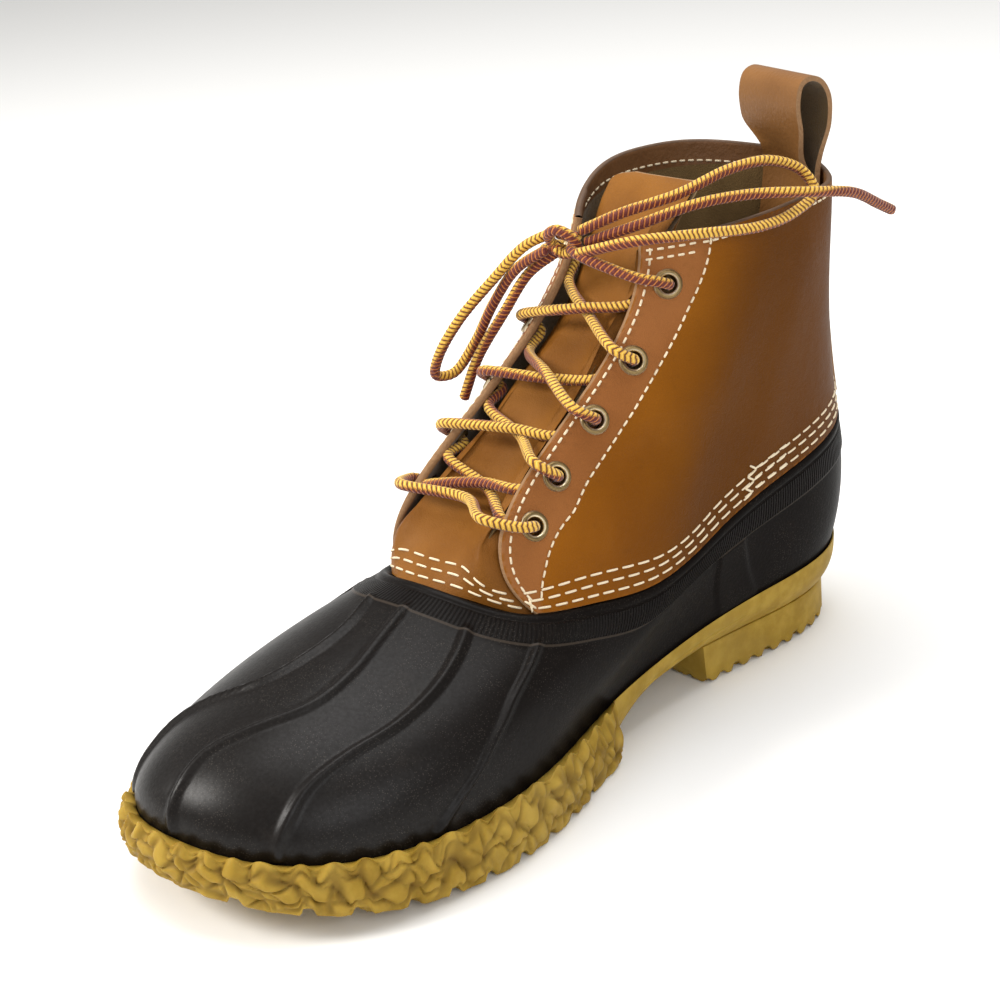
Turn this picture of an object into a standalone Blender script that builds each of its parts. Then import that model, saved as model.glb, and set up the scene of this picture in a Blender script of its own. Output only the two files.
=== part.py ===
"""Right duck boot, laced, standing empty on its sole.

Frame: metres, +Z up, the toe towards -Y. +X is the inner side of the foot, which is the wearer's left.
The origin is on the floor under the centre of the heel.

The last is one skin. It runs from the sole's edge up the rubber to the topline, and on up the leather to the collar.
A place is a share of the way round the boot: 0 is the toe, 0.25 the inner side, 0.5 the back of the heel and
0.75 the outer side. Every wall, band, rib and overlay is this skin moved in or out by a named amount.
"""

import math

import bmesh
import bpy
import numpy as np
from mathutils import Matrix, Vector

# Sizes of the last
LENGTH = 0.300
BALL_WIDTH = 0.114
SHAFT_HEIGHT = 0.168

# Thicknesses and clearances
GAP = 0.0003
LAP_GAP = 0.0005
RUBBER_WALL = 0.0028
FLANGE_WALL = 0.0016
FLANGE_HEIGHT = 0.014
FLANGE_LAPS = 1.8
LEATHER_WALL = 0.0020
LEATHER_PROUD = 0.0009
TONGUE_WALL = 0.0016
INSOLE_WALL = 0.0040
INSOLE_GAP = 0.0016

# Sole
SEAT_DEPTH = 0.0055
HEEL_HEIGHT = 0.0155
HEEL_BREAST = 0.038
TOE_SPRING = 0.0155
RIM_OUT = 0.0046
STRIP_OUT = 0.0010
STRIP_IN = 0.0036
HEEL_IN = 0.0042
LUG_DEPTH = 0.0025
LUG_GAP = 0.0032

LINK_OUT = 0.0012
BREAST_LEAN = 0.001

# Throat, eyelets and laces
THROAT_INNER = 0.16
THROAT_OUTER = 0.84
TONGUE_UNDER = 0.042
EYELET_BORE = 0.0029
EYELET_BARREL = 0.0033
EYELET_FLANGE = 0.0050
EYELET_IN = 0.0105
EYELET_STAND = 0.0006
EYELET_RISE = 0.0009
EYELET_DEEP = 0.0016
EYELET_SIDES = 10
LACE_WIDTH = 0.0036
LACE_HUMP = 0.0012
BAR_PAST = 0.08
BAR_POINTS = 7
CORD_STEP = 3.1

# Backstay and pull loop
STAY_REACH = 0.016
STAY_WALL = 0.0015
LOOP_WIDTH = 0.035
LOOP_WALL = 0.0018
LOOP_RISE = 0.031
LOOP_TAIL = 0.026

COLOURS = {
    "rubber": ((0.018, 0.014, 0.012), 0.45, 0.0),
    "leather": ((0.30, 0.125, 0.042), 0.42, 0.0),
    "sole rubber": ((0.52, 0.33, 0.10), 0.6, 0.0),
    "insole": ((0.20, 0.13, 0.07), 0.9, 0.0),
    "brass": ((0.42, 0.30, 0.12), 0.35, 1.0),
    "lace": ((0.62, 0.36, 0.06), 0.8, 0.0),
}


def table(columns, rows):
    """A table's columns by name."""
    return dict(zip(columns.split(), np.array(rows, float).T))


# Each row is a place round the boot. Ahead is a share of the length, measured forward from the heel's centre, out
# is a share of half the ball's width, inner side positive, and up is a share of the shaft's height.
SOLE_EDGE = table("place ahead out up", [
    (0.00, 0.810, 0.12, 0.168),
    (0.08, 0.757, 0.74, 0.146),
    (0.16, 0.615, 1.05, 0.121),
    (0.22, 0.483, 1.02, 0.119),
    (0.29, 0.345, 0.77, 0.120),
    (0.36, 0.217, 0.62, 0.138),
    (0.42, 0.050, 0.60, 0.170),
    (0.46, -0.095, 0.53, 0.183),
    (0.50, -0.168, 0.02, 0.190),
    (0.54, -0.095, -0.50, 0.183),
    (0.58, 0.050, -0.57, 0.170),
    (0.64, 0.217, -0.66, 0.138),
    (0.71, 0.350, -0.79, 0.120),
    (0.78, 0.483, -0.86, 0.119),
    (0.84, 0.630, -0.81, 0.121),
    (0.92, 0.775, -0.45, 0.146),
])
TOPLINE = table("place ahead out up", [
    (0.00, 0.470, 0.12, 0.425),
    (0.08, 0.450, 0.43, 0.405),
    (0.16, 0.400, 0.68, 0.369),
    (0.22, 0.327, 0.72, 0.345),
    (0.29, 0.240, 0.72, 0.327),
    (0.36, 0.147, 0.70, 0.360),
    (0.42, 0.027, 0.65, 0.412),
    (0.46, -0.112, 0.52, 0.450),
    (0.50, -0.182, 0.06, 0.482),
    (0.54, -0.122, -0.42, 0.458),
    (0.58, 0.027, -0.58, 0.417),
    (0.64, 0.147, -0.67, 0.363),
    (0.71, 0.240, -0.69, 0.327),
    (0.78, 0.327, -0.65, 0.345),
    (0.84, 0.405, -0.50, 0.369),
    (0.92, 0.460, -0.22, 0.405),
])
COLLAR = table("place ahead out up", [
    (0.00, 0.150, 0.12, 0.955),
    (0.08, 0.157, 0.28, 0.962),
    (0.16, 0.163, 0.39, 0.970),
    (0.22, 0.107, 0.54, 0.970),
    (0.29, 0.047, 0.64, 0.975),
    (0.36, -0.023, 0.65, 0.980),
    (0.42, -0.090, 0.60, 0.985),
    (0.46, -0.130, 0.47, 0.990),
    (0.50, -0.163, 0.15, 1.005),
    (0.54, -0.153, -0.15, 1.020),
    (0.58, -0.105, -0.40, 1.040),
    (0.64, -0.030, -0.54, 1.050),
    (0.71, 0.033, -0.55, 1.042),
    (0.78, 0.087, -0.47, 1.010),
    (0.84, 0.133, -0.29, 0.975),
    (0.92, 0.143, -0.08, 0.958),
])
# How the skin leaves the sole's edge and meets the topline: rise and drop are shares of the shaft's height, swell
# and spread are shares of the length, outward in plan.
RUBBER_CURVE = table("place swell rise spread drop", [
    (0.00, 0.012, 0.130, 0.190, 0.070),
    (0.08, 0.012, 0.120, 0.150, 0.080),
    (0.16, 0.007, 0.108, 0.070, 0.068),
    (0.22, 0.003, 0.090, 0.038, 0.065),
    (0.29, 0.003, 0.071, 0.017, 0.083),
    (0.36, 0.003, 0.071, 0.003, 0.071),
    (0.42, 0.008, 0.077, 0.007, 0.077),
    (0.50, 0.018, 0.095, 0.010, 0.095),
    (0.58, 0.008, 0.077, 0.007, 0.077),
    (0.64, 0.003, 0.071, 0.003, 0.071),
    (0.71, 0.003, 0.071, 0.017, 0.083),
    (0.78, 0.003, 0.090, 0.038, 0.065),
    (0.84, 0.007, 0.100, 0.065, 0.075),
    (0.92, 0.012, 0.100, 0.145, 0.080),
])
# The leather's two handles, above the topline and below the collar, as moves forward, outward and up.
LEATHER_FOOT = table("place ahead out up", [
    (0.00, -0.075, 0.00, 0.105),
    (0.08, 0.015, -0.20, 0.135),
    (0.16, 0.105, -0.36, 0.225),
    (0.22, 0.045, -0.20, 0.200),
    (0.29, -0.030, -0.04, 0.190),
    (0.36, -0.020, -0.03, 0.200),
    (0.42, 0.005, -0.04, 0.190),
    (0.50, 0.015, 0.00, 0.170),
    (0.58, 0.005, 0.04, 0.190),
    (0.64, -0.020, 0.03, 0.200),
    (0.71, -0.030, 0.04, 0.190),
    (0.78, 0.030, 0.18, 0.200),
    (0.84, 0.080, 0.30, 0.240),
    (0.92, 0.000, 0.14, 0.130),
])
LEATHER_HEAD = table("place ahead out up", [
    (0.00, 0.060, 0.02, -0.170),
    (0.08, 0.050, 0.03, -0.190),
    (0.16, 0.010, 0.06, -0.300),
    (0.22, 0.025, 0.05, -0.250),
    (0.29, 0.035, 0.02, -0.190),
    (0.36, 0.015, 0.02, -0.190),
    (0.42, 0.005, 0.02, -0.180),
    (0.50, 0.003, 0.00, -0.170),
    (0.58, 0.005, -0.02, -0.180),
    (0.64, 0.015, -0.04, -0.190),
    (0.71, 0.035, -0.04, -0.190),
    (0.78, 0.045, 0.00, -0.240),
    (0.84, 0.060, 0.04, -0.280),
    (0.92, 0.060, 0.02, -0.170),
])


def around(rows, column, place):
    """A column's value at a place round the boot, on a smooth closed curve through the rows."""
    at, values = rows["place"], rows[column]
    gap = np.diff(np.append(at, at[0] + 1))
    step = np.roll(values, -1) - values
    count = len(at)
    system = np.zeros((count, count))
    right = np.zeros(count)
    for i in range(count):
        h, k = i - 1, (i + 1) % count
        system[i, h] += 1 / gap[h]
        system[i, i] += 2 / gap[h] + 2 / gap[i]
        system[i, k] += 1 / gap[i]
        right[i] = 3 * (step[h] / gap[h] ** 2 + step[i] / gap[i] ** 2)
    slope = np.linalg.solve(system, right)
    place = np.mod(place, 1)
    i = np.searchsorted(at, place, side="right") - 1
    k = (i + 1) % count
    s = (place - at[i]) / gap[i]
    return (
        values[i] * (1 + 2 * s) * (1 - s) ** 2
        + gap[i] * slope[i] * s * (1 - s) ** 2
        + values[k] * s**2 * (3 - 2 * s)
        - gap[i] * slope[k] * s**2 * (1 - s)
    )


def points_of(rows, place):
    """Points or moves of a table in metres, one for each place."""
    return np.stack([
        around(rows, "out", place) * BALL_WIDTH / 2,
        -around(rows, "ahead", place) * LENGTH,
        around(rows, "up", place) * SHAFT_HEIGHT,
    ], axis=-1)


def outward(rows, place):
    """Unit normals in plan of a closed line, pointing out of the boot."""
    step = 0.004
    run = points_of(rows, place + step) - points_of(rows, place - step)
    normal = np.stack([run[..., 1], -run[..., 0], 0 * run[..., 0]], axis=-1)
    return normal / np.linalg.norm(normal, axis=-1, keepdims=True)


def bezier(a, b, c, d, s):
    s = s[None, :, None]
    a, b, c, d = (p[:, None, :] for p in (a, b, c, d))
    return a * (1 - s) ** 3 + 3 * b * s * (1 - s) ** 2 + 3 * c * s**2 * (1 - s) + d * s**3


PROFILE_STEPS = 60


def profiles(place):
    """The skin's fine profile at each place: points, and their distance along it above the topline."""
    up = np.array([0, 0, 1.0])
    edge, top, collar = (points_of(rows, place) for rows in (SOLE_EDGE, TOPLINE, COLLAR))
    swell, rise, spread, drop = (
        around(RUBBER_CURVE, name, place)[:, None] for name in ("swell", "rise", "spread", "drop"))
    share = np.linspace(0, 1, PROFILE_STEPS)
    rubber = bezier(
        edge,
        edge + outward(SOLE_EDGE, place) * swell * LENGTH + up * rise * SHAFT_HEIGHT,
        top + outward(TOPLINE, place) * spread * LENGTH - up * drop * SHAFT_HEIGHT,
        top, share)
    leather = bezier(
        top, top + points_of(LEATHER_FOOT, place), collar + points_of(LEATHER_HEAD, place), collar, share)
    seat = (edge - up * SEAT_DEPTH)[:, None, :]
    points = np.concatenate([seat, rubber, leather[:, 1:]], axis=1)
    reach = np.cumsum(np.linalg.norm(np.diff(points, axis=1), axis=-1), axis=1)
    reach = np.concatenate([np.zeros((len(place), 1)), reach], axis=1)
    return points, reach - reach[:, [PROFILE_STEPS]]


def skin(place, height, offset=0.0):
    """Points of the skin, moved out by offset. Height is the distance along it above the topline, one row of
    heights for each place, or one row for them all."""
    place = np.asarray(place, float)
    height = np.broadcast_to(np.asarray(height, float), (len(place), np.shape(height)[-1]))
    offset = np.broadcast_to(np.asarray(offset, float), height.shape)
    step = 0.003
    points, reach = profiles(place)
    across = profiles(place + step)[0] - profiles(place - step)[0]
    normal = np.cross(across, np.gradient(points, axis=1))
    normal /= np.linalg.norm(normal, axis=-1, keepdims=True)
    found = np.empty(height.shape + (3,))
    for i in range(len(place)):
        at = [np.interp(height[i], reach[i], points[i, :, k]) for k in range(3)]
        way = np.stack([np.interp(height[i], reach[i], normal[i, :, k]) for k in range(3)], axis=-1)
        way /= np.linalg.norm(way, axis=-1, keepdims=True)
        found[i] = np.stack(at, axis=-1) + way * offset[i][:, None]
    return found


def rubber_length(place):
    """How far below the topline the sole's edge lies along the skin."""
    return -profiles(np.asarray(place, float))[1][:, 1]


def leather_length(place):
    return profiles(np.asarray(place, float))[1][:, -1]


def clear_scene():
    for thing in list(bpy.data.objects):
        bpy.data.objects.remove(thing, do_unlink=True)


def collection(name):
    found = bpy.data.collections.new(name)
    bpy.context.scene.collection.children.link(found)
    return found


def material(name):
    colour, roughness, metallic = COLOURS[name]
    made = bpy.data.materials.get(name) or bpy.data.materials.new(name)
    made.use_nodes = True
    shader = made.node_tree.nodes["Principled BSDF"]
    shader.inputs["Base Color"].default_value = (*colour, 1)
    shader.inputs["Roughness"].default_value = roughness
    shader.inputs["Metallic"].default_value = metallic
    return made


def finished(name, data, finish, group):
    """A named object in its collection, with its material."""
    made = bpy.data.objects.new(name, data)
    if not data.materials:
        data.materials.append(material(finish))
    group.objects.link(made)
    return made


def meshed(name, points, faces, finish, group, sharp=40):
    """An object from points and faces, with its faces turned outward and shaded smooth."""
    data = bpy.data.meshes.new(name)
    data.from_pydata([tuple(p) for p in points], [], faces)
    shape = bmesh.new()
    shape.from_mesh(data)
    bmesh.ops.recalc_face_normals(shape, faces=shape.faces[:])
    if shape.calc_volume(signed=True) < 0:
        bmesh.ops.reverse_faces(shape, faces=shape.faces[:])
    shape.to_mesh(data)
    shape.free()
    data.shade_smooth()
    data.set_sharp_from_angle(angle=math.radians(sharp))
    return finished(name, data, finish, group)


def between(rings, i, k, around_it):
    """Faces between two rows of points, numbered ring after ring."""
    count = len(rings[0])
    last = count if around_it else count - 1
    return [
        (i * count + j, i * count + (j + 1) % count, k * count + (j + 1) % count, k * count + j)
        for j in range(last)
    ]


def ring_solid(name, rings, finish, group, **looks):
    """A hollow form that closes on itself both ways: up its outside, over, and down its inside."""
    faces = []
    for i in range(len(rings)):
        faces += between(rings, i, (i + 1) % len(rings), True)
    return meshed(name, np.concatenate(rings), faces, finish, group, **looks)


def sheet_solid(name, outer, inner, finish, group, **looks):
    """A wall between two open grids of the same rows and columns."""
    rows, columns = outer.shape[:2]
    rings = [*outer, *inner]
    faces = []
    for i in range(rows - 1):
        faces += between(rings, i, i + 1, False)
        faces += between(rings, rows + i, rows + i + 1, False)
        for j in (0, columns - 1):
            faces.append((i * columns + j, (i + 1) * columns + j,
                          (rows + i + 1) * columns + j, (rows + i) * columns + j))
    faces += between(rings, 0, rows, False)
    faces += between(rings, rows - 1, 2 * rows - 1, False)
    return meshed(name, np.concatenate(rings), faces, finish, group, **looks)


def ladder(ring, count):
    """Faces that close a ring of 2 * count points with rungs from its inner side to its outer side."""
    faces = []
    for j in range(count):
        a, b = ring + j, ring + j + 1
        c, d = ring + (2 * count - j - 1) % (2 * count), ring + (2 * count - j) % (2 * count)
        corners = [a, b, c, d]
        faces.append(tuple(dict.fromkeys(corners)))
    return faces


def slab_solid(name, rings, finish, group, **looks):
    """A solid whose rings run from the middle of its underside, round its edge, to the middle of its top."""
    count = len(rings[0]) // 2
    faces = []
    for i in range(len(rings) - 1):
        faces += between(rings, i, i + 1, True)
    faces += ladder(0, count)
    faces += ladder((len(rings) - 1) * 2 * count, count)
    return meshed(name, np.concatenate(rings), faces, finish, group, **looks)


def even_places(count):
    """Places round the boot, evenly spaced along the inner side, with the outer side's at the same shares."""
    fine = np.linspace(0, 0.5, 400)
    line = points_of(SOLE_EDGE, fine)
    run = np.append(0, np.cumsum(np.linalg.norm(np.diff(line, axis=0), axis=1)))
    half = np.interp(np.linspace(0, run[-1], count + 1), run, fine)
    return np.concatenate([half, 1 - half[-2:0:-1]])


def columns(first, last):
    """The skin's shared columns from one place to another, so that walls that lie on each other have the same
    facets. Places below 0 are on the outer side."""
    shared = even_places(27)
    shared = np.concatenate([shared - 1, shared])
    inside = shared[(shared > first + 0.004) & (shared < last - 0.004)]
    edges = np.array([-THROAT_INNER, THROAT_INNER, THROAT_OUTER])
    edges = edges[(edges > first + 0.004) & (edges < last - 0.004)]
    inside = inside[np.abs(inside[:, None] - edges).min(axis=1, initial=1) > 0.004]
    return np.concatenate([[first], np.sort(np.concatenate([inside, edges])), [last]])


def edge_line(place, out, up):
    """The sole's edge moved outward in plan and up."""
    line = points_of(SOLE_EDGE, place) + outward(SOLE_EDGE, place) * np.reshape(out, (-1, 1))
    line[:, 2] += up
    return line


# Rubber bottom: ribs fan from the topline to the rim, and a knurled band and a bead run under the leather's edge.
RIB_PLACES = (-0.155, -0.075, 0.010, 0.085, 0.155)
RIB_HALF = 0.0042
RIB_OUT = 0.0011
BAND_LOW = 0.0125
BAND_TOP = 0.0040
BAND_OUT = 0.0006
BEAD_OUT = 0.0009


def flange_depth(place):
    """How far the rubber's stitched flange lies under the skin: one leather thick, and two in front, where the
    tongue's foot lies under the quarters."""
    front = np.minimum(np.mod(place, 1), 1 - np.mod(place, 1))
    one = LEATHER_WALL - LEATHER_PROUD + LAP_GAP
    two = one + TONGUE_WALL + FLANGE_LAPS * LAP_GAP
    inner_end, outer_end = THROAT_INNER + TONGUE_UNDER + 0.006, THROAT_INNER + TONGUE_UNDER + 0.040
    fade = np.clip((front - inner_end) / (outer_end - inner_end), 0, 1)
    return two + (one - two) * fade**2 * (3 - 2 * fade)


def rubber_bottom(group):
    shared = columns(0, 1)
    plain = shared[:-1]
    plain = plain[np.abs(np.mod(plain[:, None] - np.array(RIB_PLACES) + 0.5, 1) - 0.5).min(axis=1) > 2 * RIB_HALF]
    ribs = [p + k * RIB_HALF for p in RIB_PLACES for k in (-1.4, -0.6, 0.6, 1.4)]
    on_rib = [RIB_OUT * (abs(k) < 1) for p in RIB_PLACES for k in (-1.4, -0.6, 0.6, 1.4)]
    place = np.concatenate([plain, np.mod(ribs, 1)])
    raised = np.concatenate([0 * plain, on_rib])
    order = np.argsort(place)
    place, raised = place[order], raised[order]
    length = rubber_length(place)
    seat = -length - SEAT_DEPTH
    rings = []

    def ring(height, offset):
        heights, offsets = (np.reshape(value + 0 * place, (-1, 1)) for value in (height, offset))
        rings.append(skin(place, heights, offsets)[:, 0])

    def flange_ring(height, offset):
        """On the chords between the shared columns, as the leather's own facets are."""
        line = skin(shared, [height], np.reshape(offset - flange_depth(shared), (-1, 1)))[:, 0]
        rings.append(np.stack([np.interp(place, shared, line[:, k]) for k in range(3)], axis=-1))

    ring(seat, 0)
    ring(-length, 0)
    for share in (0.12, 0.32, 0.55, 0.79):
        ring(-BAND_LOW - (length - BAND_LOW) * (1 - share), raised)
    ring(-BAND_LOW, raised)
    ring(-BAND_LOW + 0.0006, BAND_OUT)
    ring(-BAND_TOP, BAND_OUT)
    ring(-BAND_TOP + 0.0006, 0)
    ring(-0.0026, BEAD_OUT)
    ring(-0.0010, BEAD_OUT)
    ring(0, 0)
    flange_ring(0, 0)
    flange_ring(FLANGE_HEIGHT, 0)
    flange_ring(FLANGE_HEIGHT, -FLANGE_WALL)
    flange_ring(0, -FLANGE_WALL)
    ring(-BAND_LOW, -RUBBER_WALL)
    for share in (0.60, 0.12):
        ring(-BAND_LOW - (length - BAND_LOW) * (1 - share), -RUBBER_WALL)
    ring(seat, -RUBBER_WALL)
    return ring_solid("rubber_bottom", rings, "rubber", group, sharp=50)


# Sole: the underside is flat at the ball, springs up at the toe and arches between ball and heel.
UNDERSIDE = table("ahead up", [
    (0.126, 0.00),
    (0.180, -0.10),
    (0.223, -0.20),
    (0.253, -0.37),
    (0.280, -0.62),
    (0.303, -0.87),
    (0.325, -1.00),
    (0.520, -1.00),
])
SPRING_FROM = 0.52
SPRING_FULL = 0.83
SOLE_GROOVES = np.arange(0.385, 0.80, 0.0455)
HEEL_GROOVES = (0.075, 0.022, -0.031, -0.084, -0.137)
HEEL_ENDS = 0.12
RIM_PLACE = 0.308


def underside(line):
    """Heights of the sole's underside over points, shares of the heel's height under the heel's top."""
    ahead = -line[:, 1] / LENGTH
    level = HEEL_HEIGHT * (1 + np.interp(ahead, UNDERSIDE["ahead"], UNDERSIDE["up"]))
    spring = np.clip((ahead - SPRING_FROM) / (SPRING_FULL - SPRING_FROM), 0, None)
    return level + TOE_SPRING * spring**2


def outsole(group, cutters):
    place = even_places(42)
    front = np.minimum(place, 1 - place)
    chain = np.clip((RIM_PLACE - front) / 0.02, 0, 1)
    out = STRIP_OUT + (RIM_OUT - STRIP_OUT) * chain
    low_out = -STRIP_IN + (RIM_OUT + STRIP_IN) * chain
    link = np.where(np.arange(len(place)) % 2 == 0, 1.0, -1.0) * chain
    line = points_of(SOLE_EDGE, place)
    low = underside(edge_line(place, low_out - 0.004, 0))
    top = line[:, 2]
    rings = []

    def ring(outwards, height):
        made = edge_line(place, outwards, 0)
        made[:, 2] = height
        rings.append(made)

    tall = top - low
    ring(low_out - 0.010, underside(edge_line(place, low_out - 0.010, 0)))
    ring(low_out - 0.0020, low)
    ring(low_out - 0.0003, low + 0.0018)
    ring(low_out + (out - low_out) * 0.60 + LINK_OUT * np.clip(link, 0, 1), low + 0.38 * tall)
    ring(low_out + (out - low_out) * 0.92 + LINK_OUT * np.clip(-link, 0, 1), low + 0.70 * tall)
    ring(out - 0.0006, top - 0.0004 + 0.0007 * link)
    ring(0.45 * out + 0.0004, top + 0.0006 * chain + 0.0005 * link)
    ring(GAP + 0 * out, top - 0.0004)
    ring(GAP + 0 * out, top - SEAT_DEPTH - GAP)
    sole = slab_solid("outsole", rings, "sole rubber", group)
    grooves(sole, "sole_grooves", SOLE_GROOVES, cutters)
    return sole


def grooves(owner, name, places, cutters):
    """Cuts the gaps between the main lugs across the underside, each to the same depth."""
    shape = bmesh.new()
    for ahead in places:
        mid = np.array([[0, -ahead * LENGTH, 0]])
        height = underside(mid)[0] if ahead > HEEL_ENDS else 0
        slope = (underside(mid + [0, -0.004, 0])[0] - underside(mid + [0, 0.004, 0])[0]) / 0.008
        tilt = Matrix.Rotation(-math.atan(slope) if ahead > HEEL_ENDS else 0, 4, "X")
        size = Matrix.Diagonal((2 * BALL_WIDTH, LUG_GAP, 2 * LUG_DEPTH, 1))
        at = Matrix.Translation((0, mid[0, 1], height))
        bmesh.ops.create_cube(shape, size=1, matrix=at @ tilt @ size)
    data = bpy.data.meshes.new(name)
    shape.to_mesh(data)
    shape.free()
    cutter(owner, bpy.data.objects.new(name, data), cutters)


def cutter(owner, tool, cutters, operation="DIFFERENCE"):
    if tool.name not in cutters.objects:
        cutters.objects.link(tool)
    tool.hide_render = True
    tool.display_type = "WIRE"
    cut = owner.modifiers.new(tool.name, "BOOLEAN")
    cut.operation = operation
    cut.object = tool


def heel(group, cutters):
    """The heel block under the heel seat, flat in front at the breast."""
    fine = np.linspace(0.30, 0.70, 401)
    behind = fine[edge_line(fine, -HEEL_IN, 0)[:, 1] > -HEEL_BREAST]
    place = np.linspace(behind[0], behind[-1], 28)
    rings = []
    for height, out in ((0, -0.0012), (0.0012, -0.0004), (HEEL_HEIGHT - 0.0012, 0.0), (HEEL_HEIGHT - GAP, -0.0010)):
        made = edge_line(place, out - HEEL_IN, 0)
        made[:, 1] = np.maximum(made[:, 1], -HEEL_BREAST + BREAST_LEAN * (1 - height / HEEL_HEIGHT))
        made[:, 2] = height
        rings.append(made)
    faces = []
    for i in range(len(rings) - 1):
        faces += between(rings, i, i + 1, True)
    faces += ladder(0, len(place) // 2)
    faces += ladder((len(rings) - 1) * len(place), len(place) // 2)
    block = meshed("heel", np.concatenate(rings), faces, "sole rubber", group)
    grooves(block, "heel_grooves", HEEL_GROOVES, cutters)
    return block


def insole(group):
    place = even_places(16)
    inset = -RUBBER_WALL - INSOLE_GAP
    floor = -SEAT_DEPTH
    rings = [edge_line(place, inset - 0.0008, floor)]
    rings.append(edge_line(place, inset, floor + 0.0008))
    rings.append(edge_line(place, inset, floor + INSOLE_WALL - 0.0008))
    rings.append(edge_line(place, inset - 0.0008, floor + INSOLE_WALL))
    return slab_solid("insole", rings, "insole", group)


# Shares of the leather above the flange at which its rows lie.
LEATHER_ROWS = (0, 0.14, 0.31, 0.48, 0.66, 0.82, 0.97, 1.0)


def leather_heights(place):
    """Heights of the leather's rows, shared by the upper and the tongue: its foot, the flange's top, and up."""
    above = FLANGE_HEIGHT + (leather_length(place) - FLANGE_HEIGHT)[:, None] * np.array(LEATHER_ROWS)
    return np.concatenate([np.full((len(place), 1), GAP), above], axis=1)


# Leather upper: one wall round the heel from one throat edge to the other, stitched over the rubber's flange.
def leather_upper(group, cutters):
    place = columns(THROAT_INNER, THROAT_OUTER)
    height = leather_heights(place)
    thin = np.where(np.arange(height.shape[1]) == height.shape[1] - 1, 0.0004, 0.0)
    outer = skin(place, height, LEATHER_PROUD - thin)
    inner = skin(place, height, LEATHER_PROUD - LEATHER_WALL + thin)
    upper = sheet_solid("leather_upper", outer.transpose(1, 0, 2), inner.transpose(1, 0, 2), "leather", group)
    for side, spots in eyelet_spots().items():
        for number, (at, way, _, _) in enumerate(spots, 1):
            hole = bpy.data.meshes.new(f"hole_{side}_{number}")
            shape = bmesh.new()
            bmesh.ops.create_cone(
                shape, cap_ends=True, segments=EYELET_SIDES, radius1=EYELET_BARREL + GAP, radius2=EYELET_BARREL + GAP,
                depth=3 * LEATHER_WALL, matrix=facing(at, way))
            shape.to_mesh(hole)
            shape.free()
            cutter(upper, bpy.data.objects.new(hole.name, hole), cutters)
    return upper


def facing(at, way):
    """A place on the boot with its own Z along way."""
    turn = Vector(way).to_track_quat("Z", "Y").to_matrix().to_4x4()
    return Matrix.Translation(Vector(at)) @ turn


# Share of the throat's edge at which each eyelet sits, from the bottom one up.
EYELET_SHARES = (0.225, 0.355, 0.515, 0.685, 0.885)


def eyelet_spots():
    """Each side's eyelets from the bottom up: a point on the leather's face, the way it faces, its place round the
    boot and its height up the skin."""
    spots = {}
    for side, edge, inward in (("inner", THROAT_INNER, 1), ("outer", THROAT_OUTER, -1)):
        found = []
        for share in EYELET_SHARES:
            fine = edge + inward * np.linspace(0, 0.08, 33)
            height = share * leather_length(np.array([edge]))[0]
            line = skin(fine, [height], LEATHER_PROUD)[:, 0]
            run = np.append(0, np.cumsum(np.linalg.norm(np.diff(line, axis=0), axis=1)))
            place = np.array([edge + inward * np.interp(EYELET_IN, run, np.linspace(0, 0.08, 33))])
            at = skin(place, [height], LEATHER_PROUD)[0, 0]
            way = skin(place, [height], LEATHER_PROUD + 0.001)[0, 0] - at
            found.append((at, way / np.linalg.norm(way), place[0], height))
        spots[side] = found
    return spots


def eyelets(group):
    """Brass rings set through the quarters: a flange outside and a barrel through the hole."""
    stand = EYELET_STAND
    profile = [
        (EYELET_FLANGE, stand), (EYELET_FLANGE - 0.0004, stand + 0.8 * EYELET_RISE),
        (EYELET_BARREL + 0.0002, stand + EYELET_RISE), (EYELET_BORE, stand + 0.6 * EYELET_RISE),
        (EYELET_BORE, -EYELET_DEEP), (EYELET_BARREL, -EYELET_DEEP), (EYELET_BARREL, stand),
    ]
    turns = EYELET_SIDES
    angle = np.arange(turns) * 2 * math.pi / turns
    rings = [np.stack([r * np.cos(angle), r * np.sin(angle), z + 0 * angle], axis=-1) for r, z in profile]
    shared = None
    for side, spots in eyelet_spots().items():
        for number, (at, way, _, _) in enumerate(spots, 1):
            name = f"eyelet_{side}_{number}"
            if shared is None:
                made = ring_solid(name, rings, "brass", group)
                shared = made.data
            else:
                made = finished(name, shared, "brass", group)
            made.matrix_world = facing(at, way)


# Tongue: its foot fills the front between the quarters, and its top leans back inside the collar.
# Lean is a share of the length and rise one of the shaft's height. Narrow is the width left of the crest's, flat how
# far its bow is flattened, and shift its slant to the inner side as a share of the ball's width.
TONGUE_TOP = table("lean rise narrow flat shift", [
    (0.000, 0.000, 1.00, 0.00, 0.000),
    (0.018, 0.032, 0.99, 0.20, 0.005),
    (0.042, 0.064, 0.96, 0.45, 0.011),
    (0.062, 0.086, 0.88, 0.62, 0.014),
    (0.072, 0.096, 0.66, 0.70, 0.016),
])


def tongue(group):
    shared = columns(0, 0.5)
    reach = shared[np.argmin(np.abs(shared - THROAT_INNER - TONGUE_UNDER))]
    place = columns(-reach, reach)
    middle = np.argmin(np.abs(place))
    height = leather_heights(place)[:, :-1]
    top_face = -(LEATHER_WALL - LEATHER_PROUD + LAP_GAP)
    faces = []
    for offset in (top_face, top_face - TONGUE_WALL):
        body = skin(place, height, offset).transpose(1, 0, 2)
        crest = body[-1]
        rows = [*body]
        for lean, rise, narrow, flat, shift in list(zip(*TONGUE_TOP.values()))[1:]:
            row = crest[middle] + (crest - crest[middle]) * narrow
            row[:, 1] += (row[:, 1].mean() - row[:, 1]) * flat
            rows.append(row + np.array([shift * BALL_WIDTH, lean * LENGTH, rise * SHAFT_HEIGHT]))
        faces.append(np.array(rows))
    return sheet_solid("tongue", *faces, "leather", group)


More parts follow.
